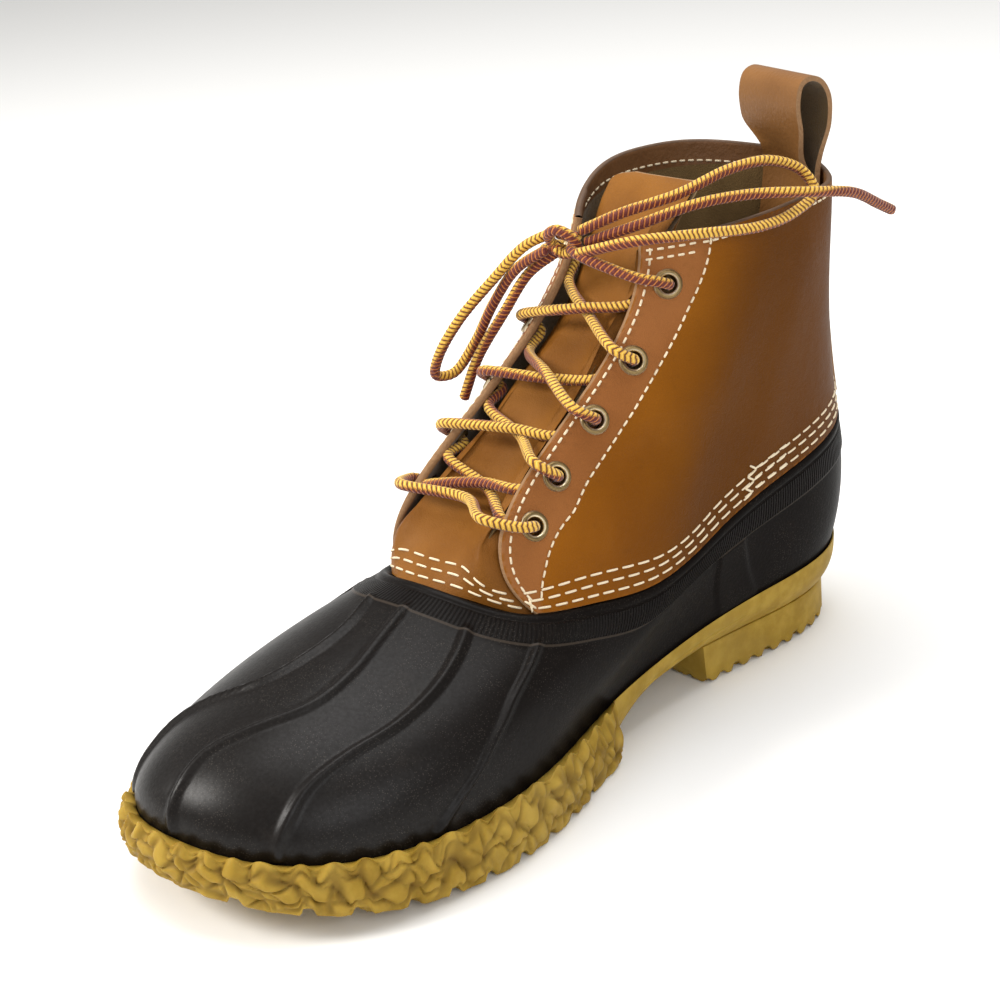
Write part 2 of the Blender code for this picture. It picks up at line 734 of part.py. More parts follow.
def backstay(group):
    place = 0.5 + np.linspace(-1, 1, 5) * STAY_REACH
    length = leather_length(place)
    height = 0.002 + (length - 0.004)[:, None] * np.array([0, 0.11, 0.24, 0.39, 0.57, 0.76, 1.0])
    low = skin(place, height, LEATHER_PROUD + GAP).transpose(1, 0, 2)
    high = skin(place, height, LEATHER_PROUD + GAP + STAY_WALL).transpose(1, 0, 2)
    return sheet_solid("backstay", high, low, "leather", group)


# Pull loop: a folded strap, its two ends stitched one on the other inside the back of the collar. Depth is measured
# into the boot from the collar's inside and rise from the collar's top, as shares of the loop's rise or its tail.
LOOP_PLACE = 0.499
LOOP_PATH = table("depth rise", [
    (0.035, -1.00),
    (0.035, -0.50),
    (0.035, -0.10),
    (0.01, 0.20),
    (-0.06, 0.50),
    (-0.06, 0.78),
    (0.04, 0.95),
    (0.17, 1.00),
    (0.30, 0.94),
    (0.38, 0.76),
    (0.36, 0.50),
    (0.22, 0.20),
    (0.108, -0.10),
    (0.108, -0.50),
    (0.108, -0.96),
])


def pull_loop(group):
    across = np.linspace(-1, 1, 7)
    line = skin(LOOP_PLACE + np.linspace(-0.06, 0.06, 41), [SHAFT_HEIGHT], 0)[:, 0]
    run = np.append(0, np.cumsum(np.linalg.norm(np.diff(line, axis=0), axis=1)))
    run -= run[20]
    place = LOOP_PLACE + np.interp(across * LOOP_WIDTH / 2, run, np.linspace(-0.06, 0.06, 41))
    length = leather_length(place)
    inside = LEATHER_PROUD - LEATHER_WALL
    rim = skin(place, length[:, None], inside)[:, 0]
    into = skin(place, length[:, None], inside - 0.001)[:, 0] - rim
    into[:, 2] = 0
    into /= np.linalg.norm(into, axis=1, keepdims=True)
    flat_into = into[3]
    side = np.cross([0, 0, 1.0], flat_into)
    middle = rim[3] + flat_into * 0.002
    flat = middle + np.outer(-across * LOOP_WIDTH / 2 * np.sign(np.dot(side, rim[0] - rim[-1])), side)

    def row(depth, rise, shift):
        """A row across the strap. Shift moves it along the strap's own face normal, given as (depth, rise)."""
        depth = depth * LOOP_RISE + shift[0] + LOOP_WALL / 2
        rise = rise * (LOOP_RISE if rise > 0 else LOOP_TAIL) + shift[1]
        if rise < 0:
            return skin(place, (length + rise)[:, None], inside - depth)[:, 0]
        k = min(rise / (0.5 * LOOP_RISE), 1)
        k = k * k * (3 - 2 * k)
        ways = into * (1 - k) + flat_into * k
        return rim * (1 - k) + flat * k + ways * depth + np.array([0, 0, rise])

    path = np.stack([LOOP_PATH["depth"], LOOP_PATH["rise"]], axis=1)
    scaled = np.stack([path[:, 0] * LOOP_RISE, np.where(path[:, 1] > 0, LOOP_RISE, LOOP_TAIL) * path[:, 1]], axis=1)
    run_way = np.gradient(scaled, axis=0)
    run_way /= np.linalg.norm(run_way, axis=1, keepdims=True)
    normal = np.stack([-run_way[:, 1], run_way[:, 0]], axis=1) * LOOP_WALL / 2
    outer = np.array([row(*p, n) for p, n in zip(path, normal)])
    inner = np.array([row(*p, -n) for p, n in zip(path, normal)])
    return sheet_solid("pull_loop", outer, inner, "leather", group)


# Laces: crossings over the throat, and a bow with two loops and two ends. The bow's points are chosen by hand.
KNOT_AT = (-0.001, -0.0601, 0.1617)
KNOT_SIZE = (0.0062, 0.0048, 0.0048)
BOW = {
    "lace_loop_right": [
        (0.0043, -0.0594, 0.1660), (0.0140, -0.0490, 0.1710), (0.0245, -0.0330, 0.1750), (0.0305, -0.0140, 0.1800),
        (0.0345, 0.0010, 0.1800), (0.0385, 0.0120, 0.1745), (0.0425, 0.0130, 0.1680), (0.0435, 0.0010, 0.1635),
        (0.0420, -0.0145, 0.1622), (0.0362, -0.0350, 0.1640), (0.0250, -0.0545, 0.1645), (0.0057, -0.0624, 0.1595),
    ],
    "lace_end_right": [
        (0.0054, -0.0583, 0.1622), (0.0180, -0.0475, 0.1668), (0.0298, -0.0315, 0.1718), (0.0380, -0.0130, 0.1722),
        (0.0480, 0.0060, 0.1700), (0.0500, 0.0240, 0.1660), (0.0490, 0.0380, 0.1590), (0.0480, 0.0470, 0.1545),
    ],
    "lace_loop_left": [
        (-0.0080, -0.0582, 0.1643), (-0.0170, -0.0640, 0.1595), (-0.0250, -0.0720, 0.1490), (-0.0330, -0.0820, 0.1360),
        (-0.0400, -0.0870, 0.1230), (-0.0435, -0.0860, 0.1155), (-0.0415, -0.0800, 0.1150), (-0.0360, -0.0740, 0.1250),
        (-0.0290, -0.0700, 0.1390), (-0.0190, -0.0670, 0.1520), (-0.0063, -0.0636, 0.1600),
    ],
    "lace_end_left": [
        (-0.0063, -0.0593, 0.1581), (-0.0165, -0.0640, 0.1500), (-0.0223, -0.0705, 0.1380), (-0.0320, -0.0765, 0.1210),
        (-0.0375, -0.0800, 0.1060),
    ],
}


def smooth_route(points, step):
    """Points every step along a smooth curve through a route's own points."""
    points = np.array(points)
    ends = np.concatenate([[2 * points[0] - points[1]], points, [2 * points[-1] - points[-2]]])
    fine = []
    for a, b, c, d in zip(ends, ends[1:], ends[2:], ends[3:]):
        for s in np.linspace(0, 1, 12, endpoint=False):
            fine.append(0.5 * (2 * b + (c - a) * s + (2 * a - 5 * b + 4 * c - d) * s**2
                               + (3 * b - a - 3 * c + d) * s**3))
    fine.append(points[-1])
    run = np.append(0, np.cumsum(np.linalg.norm(np.diff(fine, axis=0), axis=1)))
    at = np.linspace(0, run[-1], max(2, round(run[-1] / step) + 1))
    return np.stack([np.interp(at, run, np.array(fine)[:, k]) for k in range(3)], axis=-1)


def cord(name, points, width, finish, group):
    """A round cord along points, with closed ends."""
    data = bpy.data.curves.new(name, "CURVE")
    data.dimensions = "3D"
    data.bevel_depth = width / 2
    data.bevel_resolution = 2
    data.use_fill_caps = True
    line = data.splines.new("POLY")
    line.points.add(len(points) - 1)
    for point, at in zip(line.points, points):
        point.co = (*at, 1)
    return finished(name, data, finish, group)


def as_mesh(thing, group):
    """A curve object made a mesh object, with its caps welded on."""
    graph = bpy.context.evaluated_depsgraph_get()
    graph.update()
    data = bpy.data.meshes.new_from_object(thing.evaluated_get(graph))
    shape = bmesh.new()
    shape.from_mesh(data)
    bmesh.ops.remove_doubles(shape, verts=shape.verts[:], dist=0.00001)
    bmesh.ops.recalc_face_normals(shape, faces=shape.faces[:])
    shape.to_mesh(data)
    shape.free()
    name = thing.name
    bpy.data.objects.remove(thing, do_unlink=True)
    made = bpy.data.objects.new(name, data)
    group.objects.link(made)
    return made


def lace_crossings(group, cutters):
    """Bars from eyelet to eyelet over the throat, joined where they cross and where they meet over an eyelet."""
    spots = eyelet_spots()
    stand = LEATHER_PROUD + EYELET_STAND + EYELET_RISE + GAP + LACE_WIDTH / 2
    pairs = [("inner", 0, "outer", 0)]
    for k in range(4):
        pairs += [("inner", k, "outer", k + 1), ("outer", k, "inner", k + 1)]
    pairs.append(("inner", 4, "outer", 4))
    bars = []
    for number, (side_a, a, side_b, b) in enumerate(pairs):
        at_a, way_a, place_a, height_a = spots[side_a][a]
        at_b, way_b, place_b, height_b = spots[side_b][b]
        place_a, place_b = (p - (p > 0.5) for p in (place_a, place_b))
        share_a, share_b = (
            h / leather_length(np.array([p]))[0] for p, h in ((place_a, height_a), (place_b, height_b)))
        s = np.linspace(0, 1, BAR_POINTS)
        place = place_a + (place_b - place_a) * s
        height = (share_a + (share_b - share_a) * s) * leather_length(place)
        over = skin(place, height[:, None], stand)[:, 0]
        way = (way_a + way_b) / np.linalg.norm(way_a + way_b)
        chord = at_a + (at_b - at_a) * s[:, None] + np.outer(1 - s, way_a * stand) + np.outer(s, way_b * stand)
        rise = np.maximum((over - chord) @ way, 0) + LACE_HUMP * np.sin(math.pi * s)
        points = chord + np.outer(rise, way)
        points[-1] += (points[-1] - points[-2]) * BAR_PAST
        bars.append(cord(f"lace_bar_{number}", points, LACE_WIDTH, "lace", group))
    meshes = [as_mesh(bar, cutters if n else group) for n, bar in enumerate(bars)]
    whole = meshes[0]
    whole.name = "lace_crossings"
    for tool in meshes[1:]:
        cutter(whole, tool, cutters, "UNION")
    return whole


def lace_bow(group):
    shape = bmesh.new()
    bmesh.ops.create_uvsphere(
        shape, u_segments=12, v_segments=8, radius=1,
        matrix=Matrix.Translation(KNOT_AT) @ Matrix.Diagonal((*KNOT_SIZE, 1)))
    data = bpy.data.meshes.new("lace_knot")
    shape.to_mesh(data)
    shape.free()
    data.shade_smooth()
    finished("lace_knot", data, "lace", group)
    for name, route in BOW.items():
        cord(name, smooth_route(route, CORD_STEP * LACE_WIDTH), LACE_WIDTH, "lace", group)


def main():
    clear_scene()
    group = collection("duck_boot")
    cutters = collection("cutters")
    outsole(group, cutters)
    heel(group, cutters)
    rubber_bottom(group)
    insole(group)
    leather_upper(group, cutters)
    tongue(group)
    backstay(group)
    pull_loop(group)
    eyelets(group)
    lace_crossings(group, cutters)
    lace_bow(group)


if __name__ == "__main__":
    main()
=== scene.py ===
import math

import bmesh
import bpy
import numpy as np
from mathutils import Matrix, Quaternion, Vector, noise


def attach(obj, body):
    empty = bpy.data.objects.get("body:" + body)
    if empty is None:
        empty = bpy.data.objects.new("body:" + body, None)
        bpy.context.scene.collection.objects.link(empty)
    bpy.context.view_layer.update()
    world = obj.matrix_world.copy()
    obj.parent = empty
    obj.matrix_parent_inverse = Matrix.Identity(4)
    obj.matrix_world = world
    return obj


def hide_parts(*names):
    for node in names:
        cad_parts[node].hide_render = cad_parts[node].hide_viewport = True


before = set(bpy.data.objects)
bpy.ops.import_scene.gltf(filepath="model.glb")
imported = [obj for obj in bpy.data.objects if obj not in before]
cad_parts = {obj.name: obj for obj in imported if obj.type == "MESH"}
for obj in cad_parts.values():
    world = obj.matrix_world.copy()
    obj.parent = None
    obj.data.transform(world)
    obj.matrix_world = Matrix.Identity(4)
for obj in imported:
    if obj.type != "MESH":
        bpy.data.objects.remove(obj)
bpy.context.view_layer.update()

# The studio: a wide pale floor, a pale room, and large soft lights. The camera stands in front of the inner
# side, above the boot, leaning a little, as a product photographer holds it.
EYE = Vector((0.465, -0.482, 0.326))
AIM = Vector((-0.0205, -0.082, 0.0735))
ROLL = math.radians(-5.4)
LENS = 71.0

camera = bpy.data.objects.new("camera", bpy.data.cameras.new("camera"))
bpy.context.scene.collection.objects.link(camera)
bpy.context.scene.camera = camera
camera.data.lens = LENS
camera.location = EYE
camera.rotation_mode = "QUATERNION"
camera.rotation_quaternion = (AIM - EYE).to_track_quat("-Z", "Y") @ Quaternion((0, 0, 1), ROLL)

world = bpy.data.worlds.new("room")
bpy.context.scene.world = world
world.use_nodes = True
world.node_tree.nodes["Background"].inputs["Color"].default_value = (1.0, 0.99, 0.97, 1)
world.node_tree.nodes["Background"].inputs["Strength"].default_value = 0.55
bpy.context.scene.view_settings.view_transform = "Standard"

for light_name, place, size, power, tint in (
    ("key", (-0.75, -1.25, 1.05), 0.55, 25, (1.0, 0.97, 0.93)),
    ("fill", (1.3, -0.5, 0.8), 0.9, 7, (0.97, 0.98, 1.0)),
    ("top", (-0.1, 0.2, 1.7), 1.4, 24, (1.0, 1.0, 1.0)),
):
    lamp = bpy.data.objects.new(light_name, bpy.data.lights.new(light_name, "AREA"))
    lamp.data.size = size
    lamp.data.energy = power
    lamp.data.color = tint
    lamp.location = place
    lamp.rotation_mode = "QUATERNION"
    lamp.rotation_quaternion = (Vector((0, -0.08, 0.08)) - Vector(place)).to_track_quat("-Z", "Y")
    bpy.context.scene.collection.objects.link(lamp)

# What a surface is made of is worked out from sockets. Sums and products of them add the nodes they need.


class Socket:
    def __init__(self, finish, output):
        self.finish, self.output = finish, output

    def math(self, operation, *others, first=None):
        values = [self if first is None else first, *others]
        return self.finish.node("ShaderNodeMath", {"operation": operation}, dict(enumerate(values)))

    def __add__(self, other):
        return self.math("ADD", other)

    def __sub__(self, other):
        return self.math("SUBTRACT", other)

    def __rsub__(self, other):
        return self.math("SUBTRACT", self, first=other)

    def __mul__(self, other):
        return self.math("MULTIPLY", other)

    def __truediv__(self, other):
        return self.math("DIVIDE", other)

    def __pow__(self, other):
        return self.math("POWER", other)

    __radd__, __rmul__ = __add__, __mul__

    def clamp(self):
        return self.finish.node("ShaderNodeClamp", {}, {0: self})

    def step(self, low, high):
        """0 below low and 1 above high, with a soft change between."""
        limits = {0: self, 1: low, 2: high, 3: 0.0, 4: 1.0}
        return self.finish.node("ShaderNodeMapRange", {"interpolation_type": "SMOOTHSTEP"}, limits)

    def wave(self):
        """From 0 to 1 and back, once for each whole number."""
        return self.math("PINGPONG", 0.5) * 2


class Finish:
    """A material under the name of what it is, with the places on the object that its pattern follows."""

    def __init__(self, name):
        self.made = bpy.data.materials.new(name)
        self.made.use_nodes = True
        self.tree = self.made.node_tree
        self.shader = self.tree.nodes["Principled BSDF"]
        self.at = self.node("ShaderNodeTexCoord", {}, {}, "Object")

    def node(self, kind, settings, values, output=0):
        made = self.tree.nodes.new(kind)
        for key, value in settings.items():
            setattr(made, key, value)
        for key, value in values.items():
            if isinstance(value, Socket):
                self.tree.links.new(value.output, made.inputs[key])
            else:
                made.inputs[key].default_value = value
        return Socket(self, made.outputs[output])

    def mix(self, share, one, other):
        one, other = (c if isinstance(c, Socket) else (*c, 1) for c in (one, other))
        return self.node("ShaderNodeMix", {"data_type": "RGBA"}, {0: share, 6: one, 7: other}, 2)

    def noise(self, scale, detail=2.0, at=None, **more):
        return self.node(
            "ShaderNodeTexNoise", {}, {"Vector": at or self.at, "Scale": scale, "Detail": detail, **more})

    def cells(self, scale, at=None, feature="F1", output="Distance"):
        return self.node(
            "ShaderNodeTexVoronoi", {"feature": feature}, {"Vector": at or self.at, "Scale": scale}, output)

    def chart(self):
        """A piece's own flat measure in metres: along it and across it."""
        uv = self.node("ShaderNodeUVMap", {"uv_map": "chart"}, {})
        split = self.node("ShaderNodeSeparateXYZ", {}, {0: uv})
        return split, Socket(self, split.output.node.outputs[1])

    def mark(self, name):
        """A value painted on the mesh, such as the depth of a crease."""
        return self.node("ShaderNodeAttribute", {"attribute_name": name}, {}, "Fac")

    def bump(self, height, distance, under=None):
        values = {"Height": height, "Distance": distance, "Strength": 1.0}
        if under:
            values["Normal"] = under
        return self.node("ShaderNodeBump", {}, values)

    def set(self, **values):
        for key, value in values.items():
            socket = self.shader.inputs[key.replace("_", " ")]
            if isinstance(value, Socket):
                self.tree.links.new(value.output, socket)
            else:
                socket.default_value = (*value, 1) if isinstance(value, tuple) else value
        return self.made


floor_data = bpy.data.meshes.new("floor")
floor_data.from_pydata([(-9, -9, 0), (9, -9, 0), (9, 9, 0), (-9, 9, 0)], [], [(0, 1, 2, 3)])
floor = bpy.data.objects.new("floor", floor_data)
bpy.context.scene.collection.objects.link(floor)
floor_paper = Finish("floor_paper")
floor_data.materials.append(floor_paper.set(Base_Color=(0.90, 0.90, 0.89), Roughness=0.9))

# Outsole: a one-piece moulded sole of amber gum rubber, with a rope-like chain rim round the forefoot and a
# plain strip round the arch and heel. The rubber bottom is glued into it. It follows the sole's edge, which
# every other piece shares: places round the boot are 0 the toe, 0.25 the inner side, 0.5 the heel's back.
LENGTH = 0.300
BALL_WIDTH = 0.114
SHAFT_HEIGHT = 0.168
GAP = 0.0003
SEAT_DEPTH = 0.0055
HEEL_HEIGHT = 0.0155
TOE_SPRING = 0.0155
SPRING_FROM = 0.52
RIM_OUT = 0.0046
STRIP_OUT = 0.0010
STRIP_IN = 0.0036
LUG_DEPTH = 0.0025
LUG_GAP = 0.0032
GAP_WAVE = 0.0012
GAP_WAVE_LONG = 0.0026
SOLE_GAPS = [0.385 + 0.0455 * k for k in range(10)]
LINK = 0.0090
FOLD_DEPTH = 0.0024
LUMP = 0.0078
SIDE_ROWS = 30


def piece(name, patches, finishes, sharp=35, marks=None, weld=True):
    """A mesh from grids of points. Each patch is its points, whether it closes round, its finish's number,
    and its chart, whose last column closes it."""
    points, faces, slots, charts, start = [], [], [], [], 0
    for grid, closed, slot, chart in patches:
        rows, columns = grid.shape[:2]
        index = start + np.arange(rows * columns).reshape(rows, columns)
        if closed:
            index = np.concatenate([index, index[:, :1]], axis=1)
        if chart is None:
            chart = np.zeros(index.shape + (2,))
        for source, found in ((index, faces), (chart, charts)):
            corners = [source[:-1, :-1], source[:-1, 1:], source[1:, 1:], source[1:, :-1]]
            found.append(np.stack(corners, axis=2).reshape((-1, 4) + source.shape[2:]))
        slots.append(np.full(len(faces[-1]), slot))
        points.append(grid.reshape(-1, 3))
        start += rows * columns
    points, faces, slots, charts = (np.concatenate(part) for part in (points, faces, slots, charts))
    data = bpy.data.meshes.new(name)
    data.from_pydata(points.tolist(), [], faces.tolist())
    data.polygons.foreach_set("material_index", slots.astype(np.int32))
    data.uv_layers.new(name="chart").data.foreach_set("uv", charts.reshape(-1).astype(np.float32))
    for mark, values in (marks or {}).items():
        painted = data.attributes.new(mark, "FLOAT", "POINT").data
        painted.foreach_set("value", values.reshape(-1).astype(np.float32))
    for finish in finishes:
        data.materials.append(finish)
    if weld:
        shape = bmesh.new()
        shape.from_mesh(data)
        bmesh.ops.remove_doubles(shape, verts=shape.verts[:], dist=2e-6)
        bmesh.ops.recalc_face_normals(shape, faces=shape.faces[:])
        shape.to_mesh(data)
        shape.free()
    data.shade_smooth()
    data.set_sharp_from_angle(angle=math.radians(sharp))
    made = bpy.data.objects.new(name, data)
    bpy.context.scene.collection.objects.link(made)
    return made


def stand_for(made, node):
    """The piece takes the place of a solid, on the one body."""
    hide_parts(node)
    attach(made, "root")


def distance_run(line):
    """How far along a line of points each lies."""
    return np.append(0, np.cumsum(np.linalg.norm(np.diff(line, axis=0), axis=1)))


def unit(ways):
    return ways / np.linalg.norm(ways, axis=-1, keepdims=True)


def along(at, run, points):
    """Points at distances along a line whose own points lie at run."""
    return np.stack([np.interp(at, run, points[:, k]) for k in range(3)], axis=-1)


def smooth(points, step):
    """Points every step along a smooth curve through a route's own points, and the distance run at each."""
    points = np.array(points, float)
    knots = np.append(0, np.cumsum(np.linalg.norm(np.diff(points, axis=0), axis=1) ** 0.5))
    gap = np.diff(knots)
    slope = np.diff(points, axis=0) / gap[:, None]
    tangent = np.empty_like(points)
    tangent[1:-1] = (slope[:-1] * gap[1:, None] + slope[1:] * gap[:-1, None]) / (gap[:-1] + gap[1:])[:, None]
    tangent[0], tangent[-1] = slope[0], slope[-1]
    fine = []
    for i in range(len(gap)):
        s = np.linspace(0, 1, 24, endpoint=False)[:, None]
        fine.append(points[i] * (1 + 2 * s) * (1 - s) ** 2 + tangent[i] * gap[i] * s * (1 - s) ** 2
                    + points[i + 1] * s**2 * (3 - 2 * s) - tangent[i + 1] * gap[i] * s**2 * (1 - s))
    fine = np.concatenate([*fine, points[-1:]])
    run = distance_run(fine)
    at = np.linspace(0, run[-1], max(3, round(run[-1] / step) + 1))
    return along(at, run, fine), at


def table(columns, rows):
    return dict(zip(columns.split(), np.array(rows, float).T))


# Each row is a place round the boot. Ahead is a share of the length, measured forward from the heel's centre,
# out is a share of half the ball's width, inner side positive, and up is a share of the shaft's height.
SOLE_EDGE = table("place ahead out up", [
    (0.00, 0.810, 0.12, 0.168),
    (0.08, 0.757, 0.74, 0.146),
    (0.16, 0.615, 1.05, 0.121),
    (0.22, 0.483, 1.02, 0.119),
    (0.29, 0.345, 0.77, 0.120),
    (0.36, 0.217, 0.62, 0.138),
    (0.42, 0.050, 0.60, 0.170),
    (0.46, -0.095, 0.53, 0.183),
    (0.50, -0.168, 0.02, 0.190),
    (0.54, -0.095, -0.50, 0.183),
    (0.58, 0.050, -0.57, 0.170),
    (0.64, 0.217, -0.66, 0.138),
    (0.71, 0.350, -0.79, 0.120),
    (0.78, 0.483, -0.86, 0.119),
    (0.84, 0.630, -0.81, 0.121),
    (0.92, 0.775, -0.45, 0.146),
])
CURVES = {}


def around(rows, column, place):
    """A column's value at a place round the boot, on a smooth closed curve through the rows."""
    at, values = rows["place"], rows[column]
    gap = np.diff(np.append(at, at[0] + 1))
    count = len(at)
    if (id(rows), column) not in CURVES:
        step = np.roll(values, -1) - values
        system = np.zeros((count, count))
        right = np.zeros(count)
        for i in range(count):
            h, k = i - 1, (i + 1) % count
            system[i, h] += 1 / gap[h]
            system[i, i] += 2 / gap[h] + 2 / gap[i]
            system[i, k] += 1 / gap[i]
            right[i] = 3 * (step[h] / gap[h] ** 2 + step[i] / gap[i] ** 2)
        CURVES[id(rows), column] = np.linalg.solve(system, right)
    slope = CURVES[id(rows), column]
    place = np.mod(place, 1)
    i = np.searchsorted(at, place, side="right") - 1
    k = (i + 1) % count
    s = (place - at[i]) / gap[i]
    return (
        values[i] * (1 + 2 * s) * (1 - s) ** 2
        + gap[i] * slope[i] * s * (1 - s) ** 2
        + values[k] * s**2 * (3 - 2 * s)
        - gap[i] * slope[k] * s**2 * (1 - s)
    )


def points_of(rows, place):
    """Points or moves of a table in metres, one for each place."""
    return np.stack([
        around(rows, "out", place) * BALL_WIDTH / 2,
        -around(rows, "ahead", place) * LENGTH,
        around(rows, "up", place) * SHAFT_HEIGHT,
    ], axis=-1)


def outward(rows, place):
    """Unit normals in plan of a closed line, pointing out of the boot."""
    step = 0.004
    run = points_of(rows, place + step) - points_of(rows, place - step)
    return unit(np.stack([run[..., 1], -run[..., 0], 0 * run[..., 0]], axis=-1))


def edge_line(place, out):
    """The sole's edge moved outward in plan."""
    return points_of(SOLE_EDGE, place) + outward(SOLE_EDGE, place) * np.reshape(out, (-1, 1))


def spaced(rows, step, first, last):
    """Places at even steps along a line of the last, and the distance run at each."""
    fine = np.linspace(first, last, 3000)
    run = distance_run(points_of(rows, fine))
    at = np.linspace(0, run[-1], round(run[-1] / step) + 1)
    return np.interp(at, run, fine), at


def both_sides(half):
    """Places round the boot from those of the inner half, toe to heel."""
    return np.concatenate([half, 1 - half[-2:0:-1]])


def eased(value, low, high):
    """0 below low, 1 above high, soft between."""
    share = np.clip((value - low) / (high - low), 0, 1)
    return share * share * (3 - 2 * share)


def rungs(ring, count, height=None):
    """A grid across a ring of the sole, from its inner side to its outer side."""
    half = len(ring) // 2
    near, far = ring[:half + 1], ring[(-np.arange(half + 1)) % len(ring)]
    share = np.linspace(0, 1, count)[None, :, None]
    grid = near[:, None] * (1 - share) + far[:, None] * share
    if height is not None:
        grid[..., 2] = height(grid)
    return grid


UNDERSIDE = table("ahead up", [
    (0.126, 0.00),
    (0.180, -0.10),
    (0.223, -0.20),
    (0.253, -0.37),
    (0.280, -0.62),
    (0.303, -0.87),
    (0.325, -1.00),
    (0.520, -1.00),
])


def under_level(line):
    """Heights of the sole's underside over points, shares of the heel's height under the heel's top."""
    ahead = -line[..., 1] / LENGTH
    level = HEEL_HEIGHT * (1 + np.interp(ahead, UNDERSIDE["ahead"], UNDERSIDE["up"]))
    spring = np.clip((ahead - SPRING_FROM) / (0.83 - SPRING_FROM), 0, None)
    return level + TOE_SPRING * spring**2


def lug_gaps(line, middles):
    """How deep the wavy gaps between lugs lie over points, their middles given as shares of the length."""
    deep = 0 * line[..., 1]
    for middle in middles:
        off = np.abs(-line[..., 1] - middle * LENGTH - GAP_WAVE * np.sin(line[..., 0] / GAP_WAVE_LONG))
        deep = np.maximum(deep, 1 - eased(off, 0.4 * LUG_GAP, 0.8 * LUG_GAP))
    return LUG_DEPTH * deep


def underside(line):
    return under_level(line) + lug_gaps(line, SOLE_GAPS)


half, run = spaced(SOLE_EDGE, 0.00055, 0, 0.5)
place = both_sides(half)
run = np.concatenate([run, -run[-2:0:-1]])
front = np.minimum(place, 1 - place)
chain = eased(-front, -0.312, -0.300)
out = STRIP_OUT + (RIM_OUT - STRIP_OUT) * chain
low_out = -STRIP_IN + (RIM_OUT + STRIP_IN) * chain
top = points_of(SOLE_EDGE, place)[:, 2]
low = underside(edge_line(place, low_out - 0.001))
rows, crease_shades = [], []


# crease sets how dark each row is painted as shade: in the chain rim's folds and cracks, and at the joint
# with the rubber bottom.
def sole_row(outwards, height, crease=0.0):
    made = edge_line(place, outwards)
    made[:, 2] = height
    rows.append(made)
    crease_shades.append(crease + 0 * place)


base = edge_line(place, low_out - 0.0026)
sole_row(low_out - 0.0026, underside(base))
sole_row(low_out - 0.0008, low + 0.0002)
top_warp = np.array([noise.noise((r / 0.013, 0.0, 7.0)) for r in run])
wavy = 0.0016 * chain * (np.cos(2 * math.pi * run / LINK + 2.2 * top_warp) + 0.5 * top_warp)
for v in np.linspace(0, 1, SIDE_ROWS):
    warp = np.array([noise.noise((r / 0.006, v * 2.2, 4.0)) for r in run])
    fold = run / LINK + 0.95 * (v - 0.5) - 0.20 * math.sin(2 * math.pi * v) + 0.30 * warp
    ridge = np.sqrt(1 - 0.97 * (2 * np.abs(fold % 1 - 0.5)) ** 2)
    swell = 1 + 0.30 * np.sin(1.7 * np.floor(fold) + 0.6)
    split = np.array([
        noise.voronoi(((r + 0.0022 * w) / LUMP, v * 2.6 + 0.5 * w, 1.5))[0] for r, w in zip(run, warp)])
    crack = 1 - eased(split[:, 1] - split[:, 0], 0.0, 0.28)
    strength = chain * np.interp(v, [0, 0.12, 0.5, 0.88, 1], [0.25, 0.9, 1.0, 0.9, 0.5])
    reach = low_out + (out - low_out) * (1 - (1 - v) ** 2.6) + (0.0012 * math.sin(math.pi * v) ** 0.8) * chain
    lumps = 0.0006 * swell - FOLD_DEPTH * 0.60 * (1 - ridge) - 0.0011 * crack + 0.0009 * warp
    level = low + 0.0010 + (top + 0.0002 - low - 0.0010) * v + wavy * v**3
    sole_row(reach + strength * lumps - 0.0010 * chain * v**8,
             level - 0.0010 * (ridge - 0.5) * chain * (1 - v) ** 3,
             (0.50 * (1 - ridge) + 0.48 * crack) * strength)
for share, lift in ((0.72, 0.0010), (0.45, 0.0008), (0.2, 0.0)):
    sole_row(out * share + GAP, top + lift * chain - 0.0001 + wavy * share,
             0.3 * (1 - share) * chain)
sole_row(GAP, top - 0.0006, 0.5)
sole_row(GAP, top - SEAT_DEPTH - GAP)

gum = Finish("gum_rubber")
crevice_shade = gum.mark("crevice_shade")
grain = gum.noise(140, 4)
gum_colour = gum.mix(grain.step(0.35, 0.7), (0.290, 0.178, 0.021), (0.385, 0.248, 0.038))
gum_colour = gum.mix(gum.noise(18, 3).step(0.45, 0.75) * 0.30, gum_colour, (0.46, 0.32, 0.070))
# Painted shade: the rim's folds and cracks and its joint with the rubber bottom are darkened.
gum_colour = gum.mix(crevice_shade.clamp(), gum_colour, (0.075, 0.036, 0.006))
gum_dirt = gum.noise(45, 5).step(0.56, 0.72) * 0.35
gum_rubber = gum.set(
    Base_Color=gum.mix(gum_dirt, gum_colour, (0.24, 0.15, 0.035)), Roughness=0.46 + gum.noise(90) * 0.18,
    Specular_IOR_Level=0.12, Subsurface_Weight=0.06, Subsurface_Scale=0.004,
    Normal=gum.bump(gum.noise(700, 3), 0.00012))


def marked(patches, first=None):
    """A mark's values on the first patch, and 0 on the rest."""
    plain = [np.zeros(patch[0].shape[0] * patch[0].shape[1]) for patch in patches]
    if first is not None:
        plain[0] = first.reshape(-1)
    return np.concatenate(plain)


sides = np.array(rows)
sole_patches = [
    (sides, True, 0, None),
    (rungs(base, 56, underside), False, 0, None),
    (rungs(sides[-1], 8), False, 0, None),
]
outsole = piece("outsole_gum", sole_patches, [gum_rubber],
                marks={"crevice_shade": marked(sole_patches, np.array(crease_shades))}, sharp=50)
stand_for(outsole, "outsole")

# Heel: a separate block of the same gum rubber, glued under the heel seat. Its breast is flat, and its tread
# gaps run out to its sides, so that its lower edge is scalloped.
HEEL_BREAST = 0.038
HEEL_IN = 0.0042
BREAST_LEAN = 0.001
HEEL_GAPS = (0.075, 0.022, -0.031, -0.084, -0.137)
NOTCH_STEP = 0.0079
NOTCH_DEPTH = 0.0020


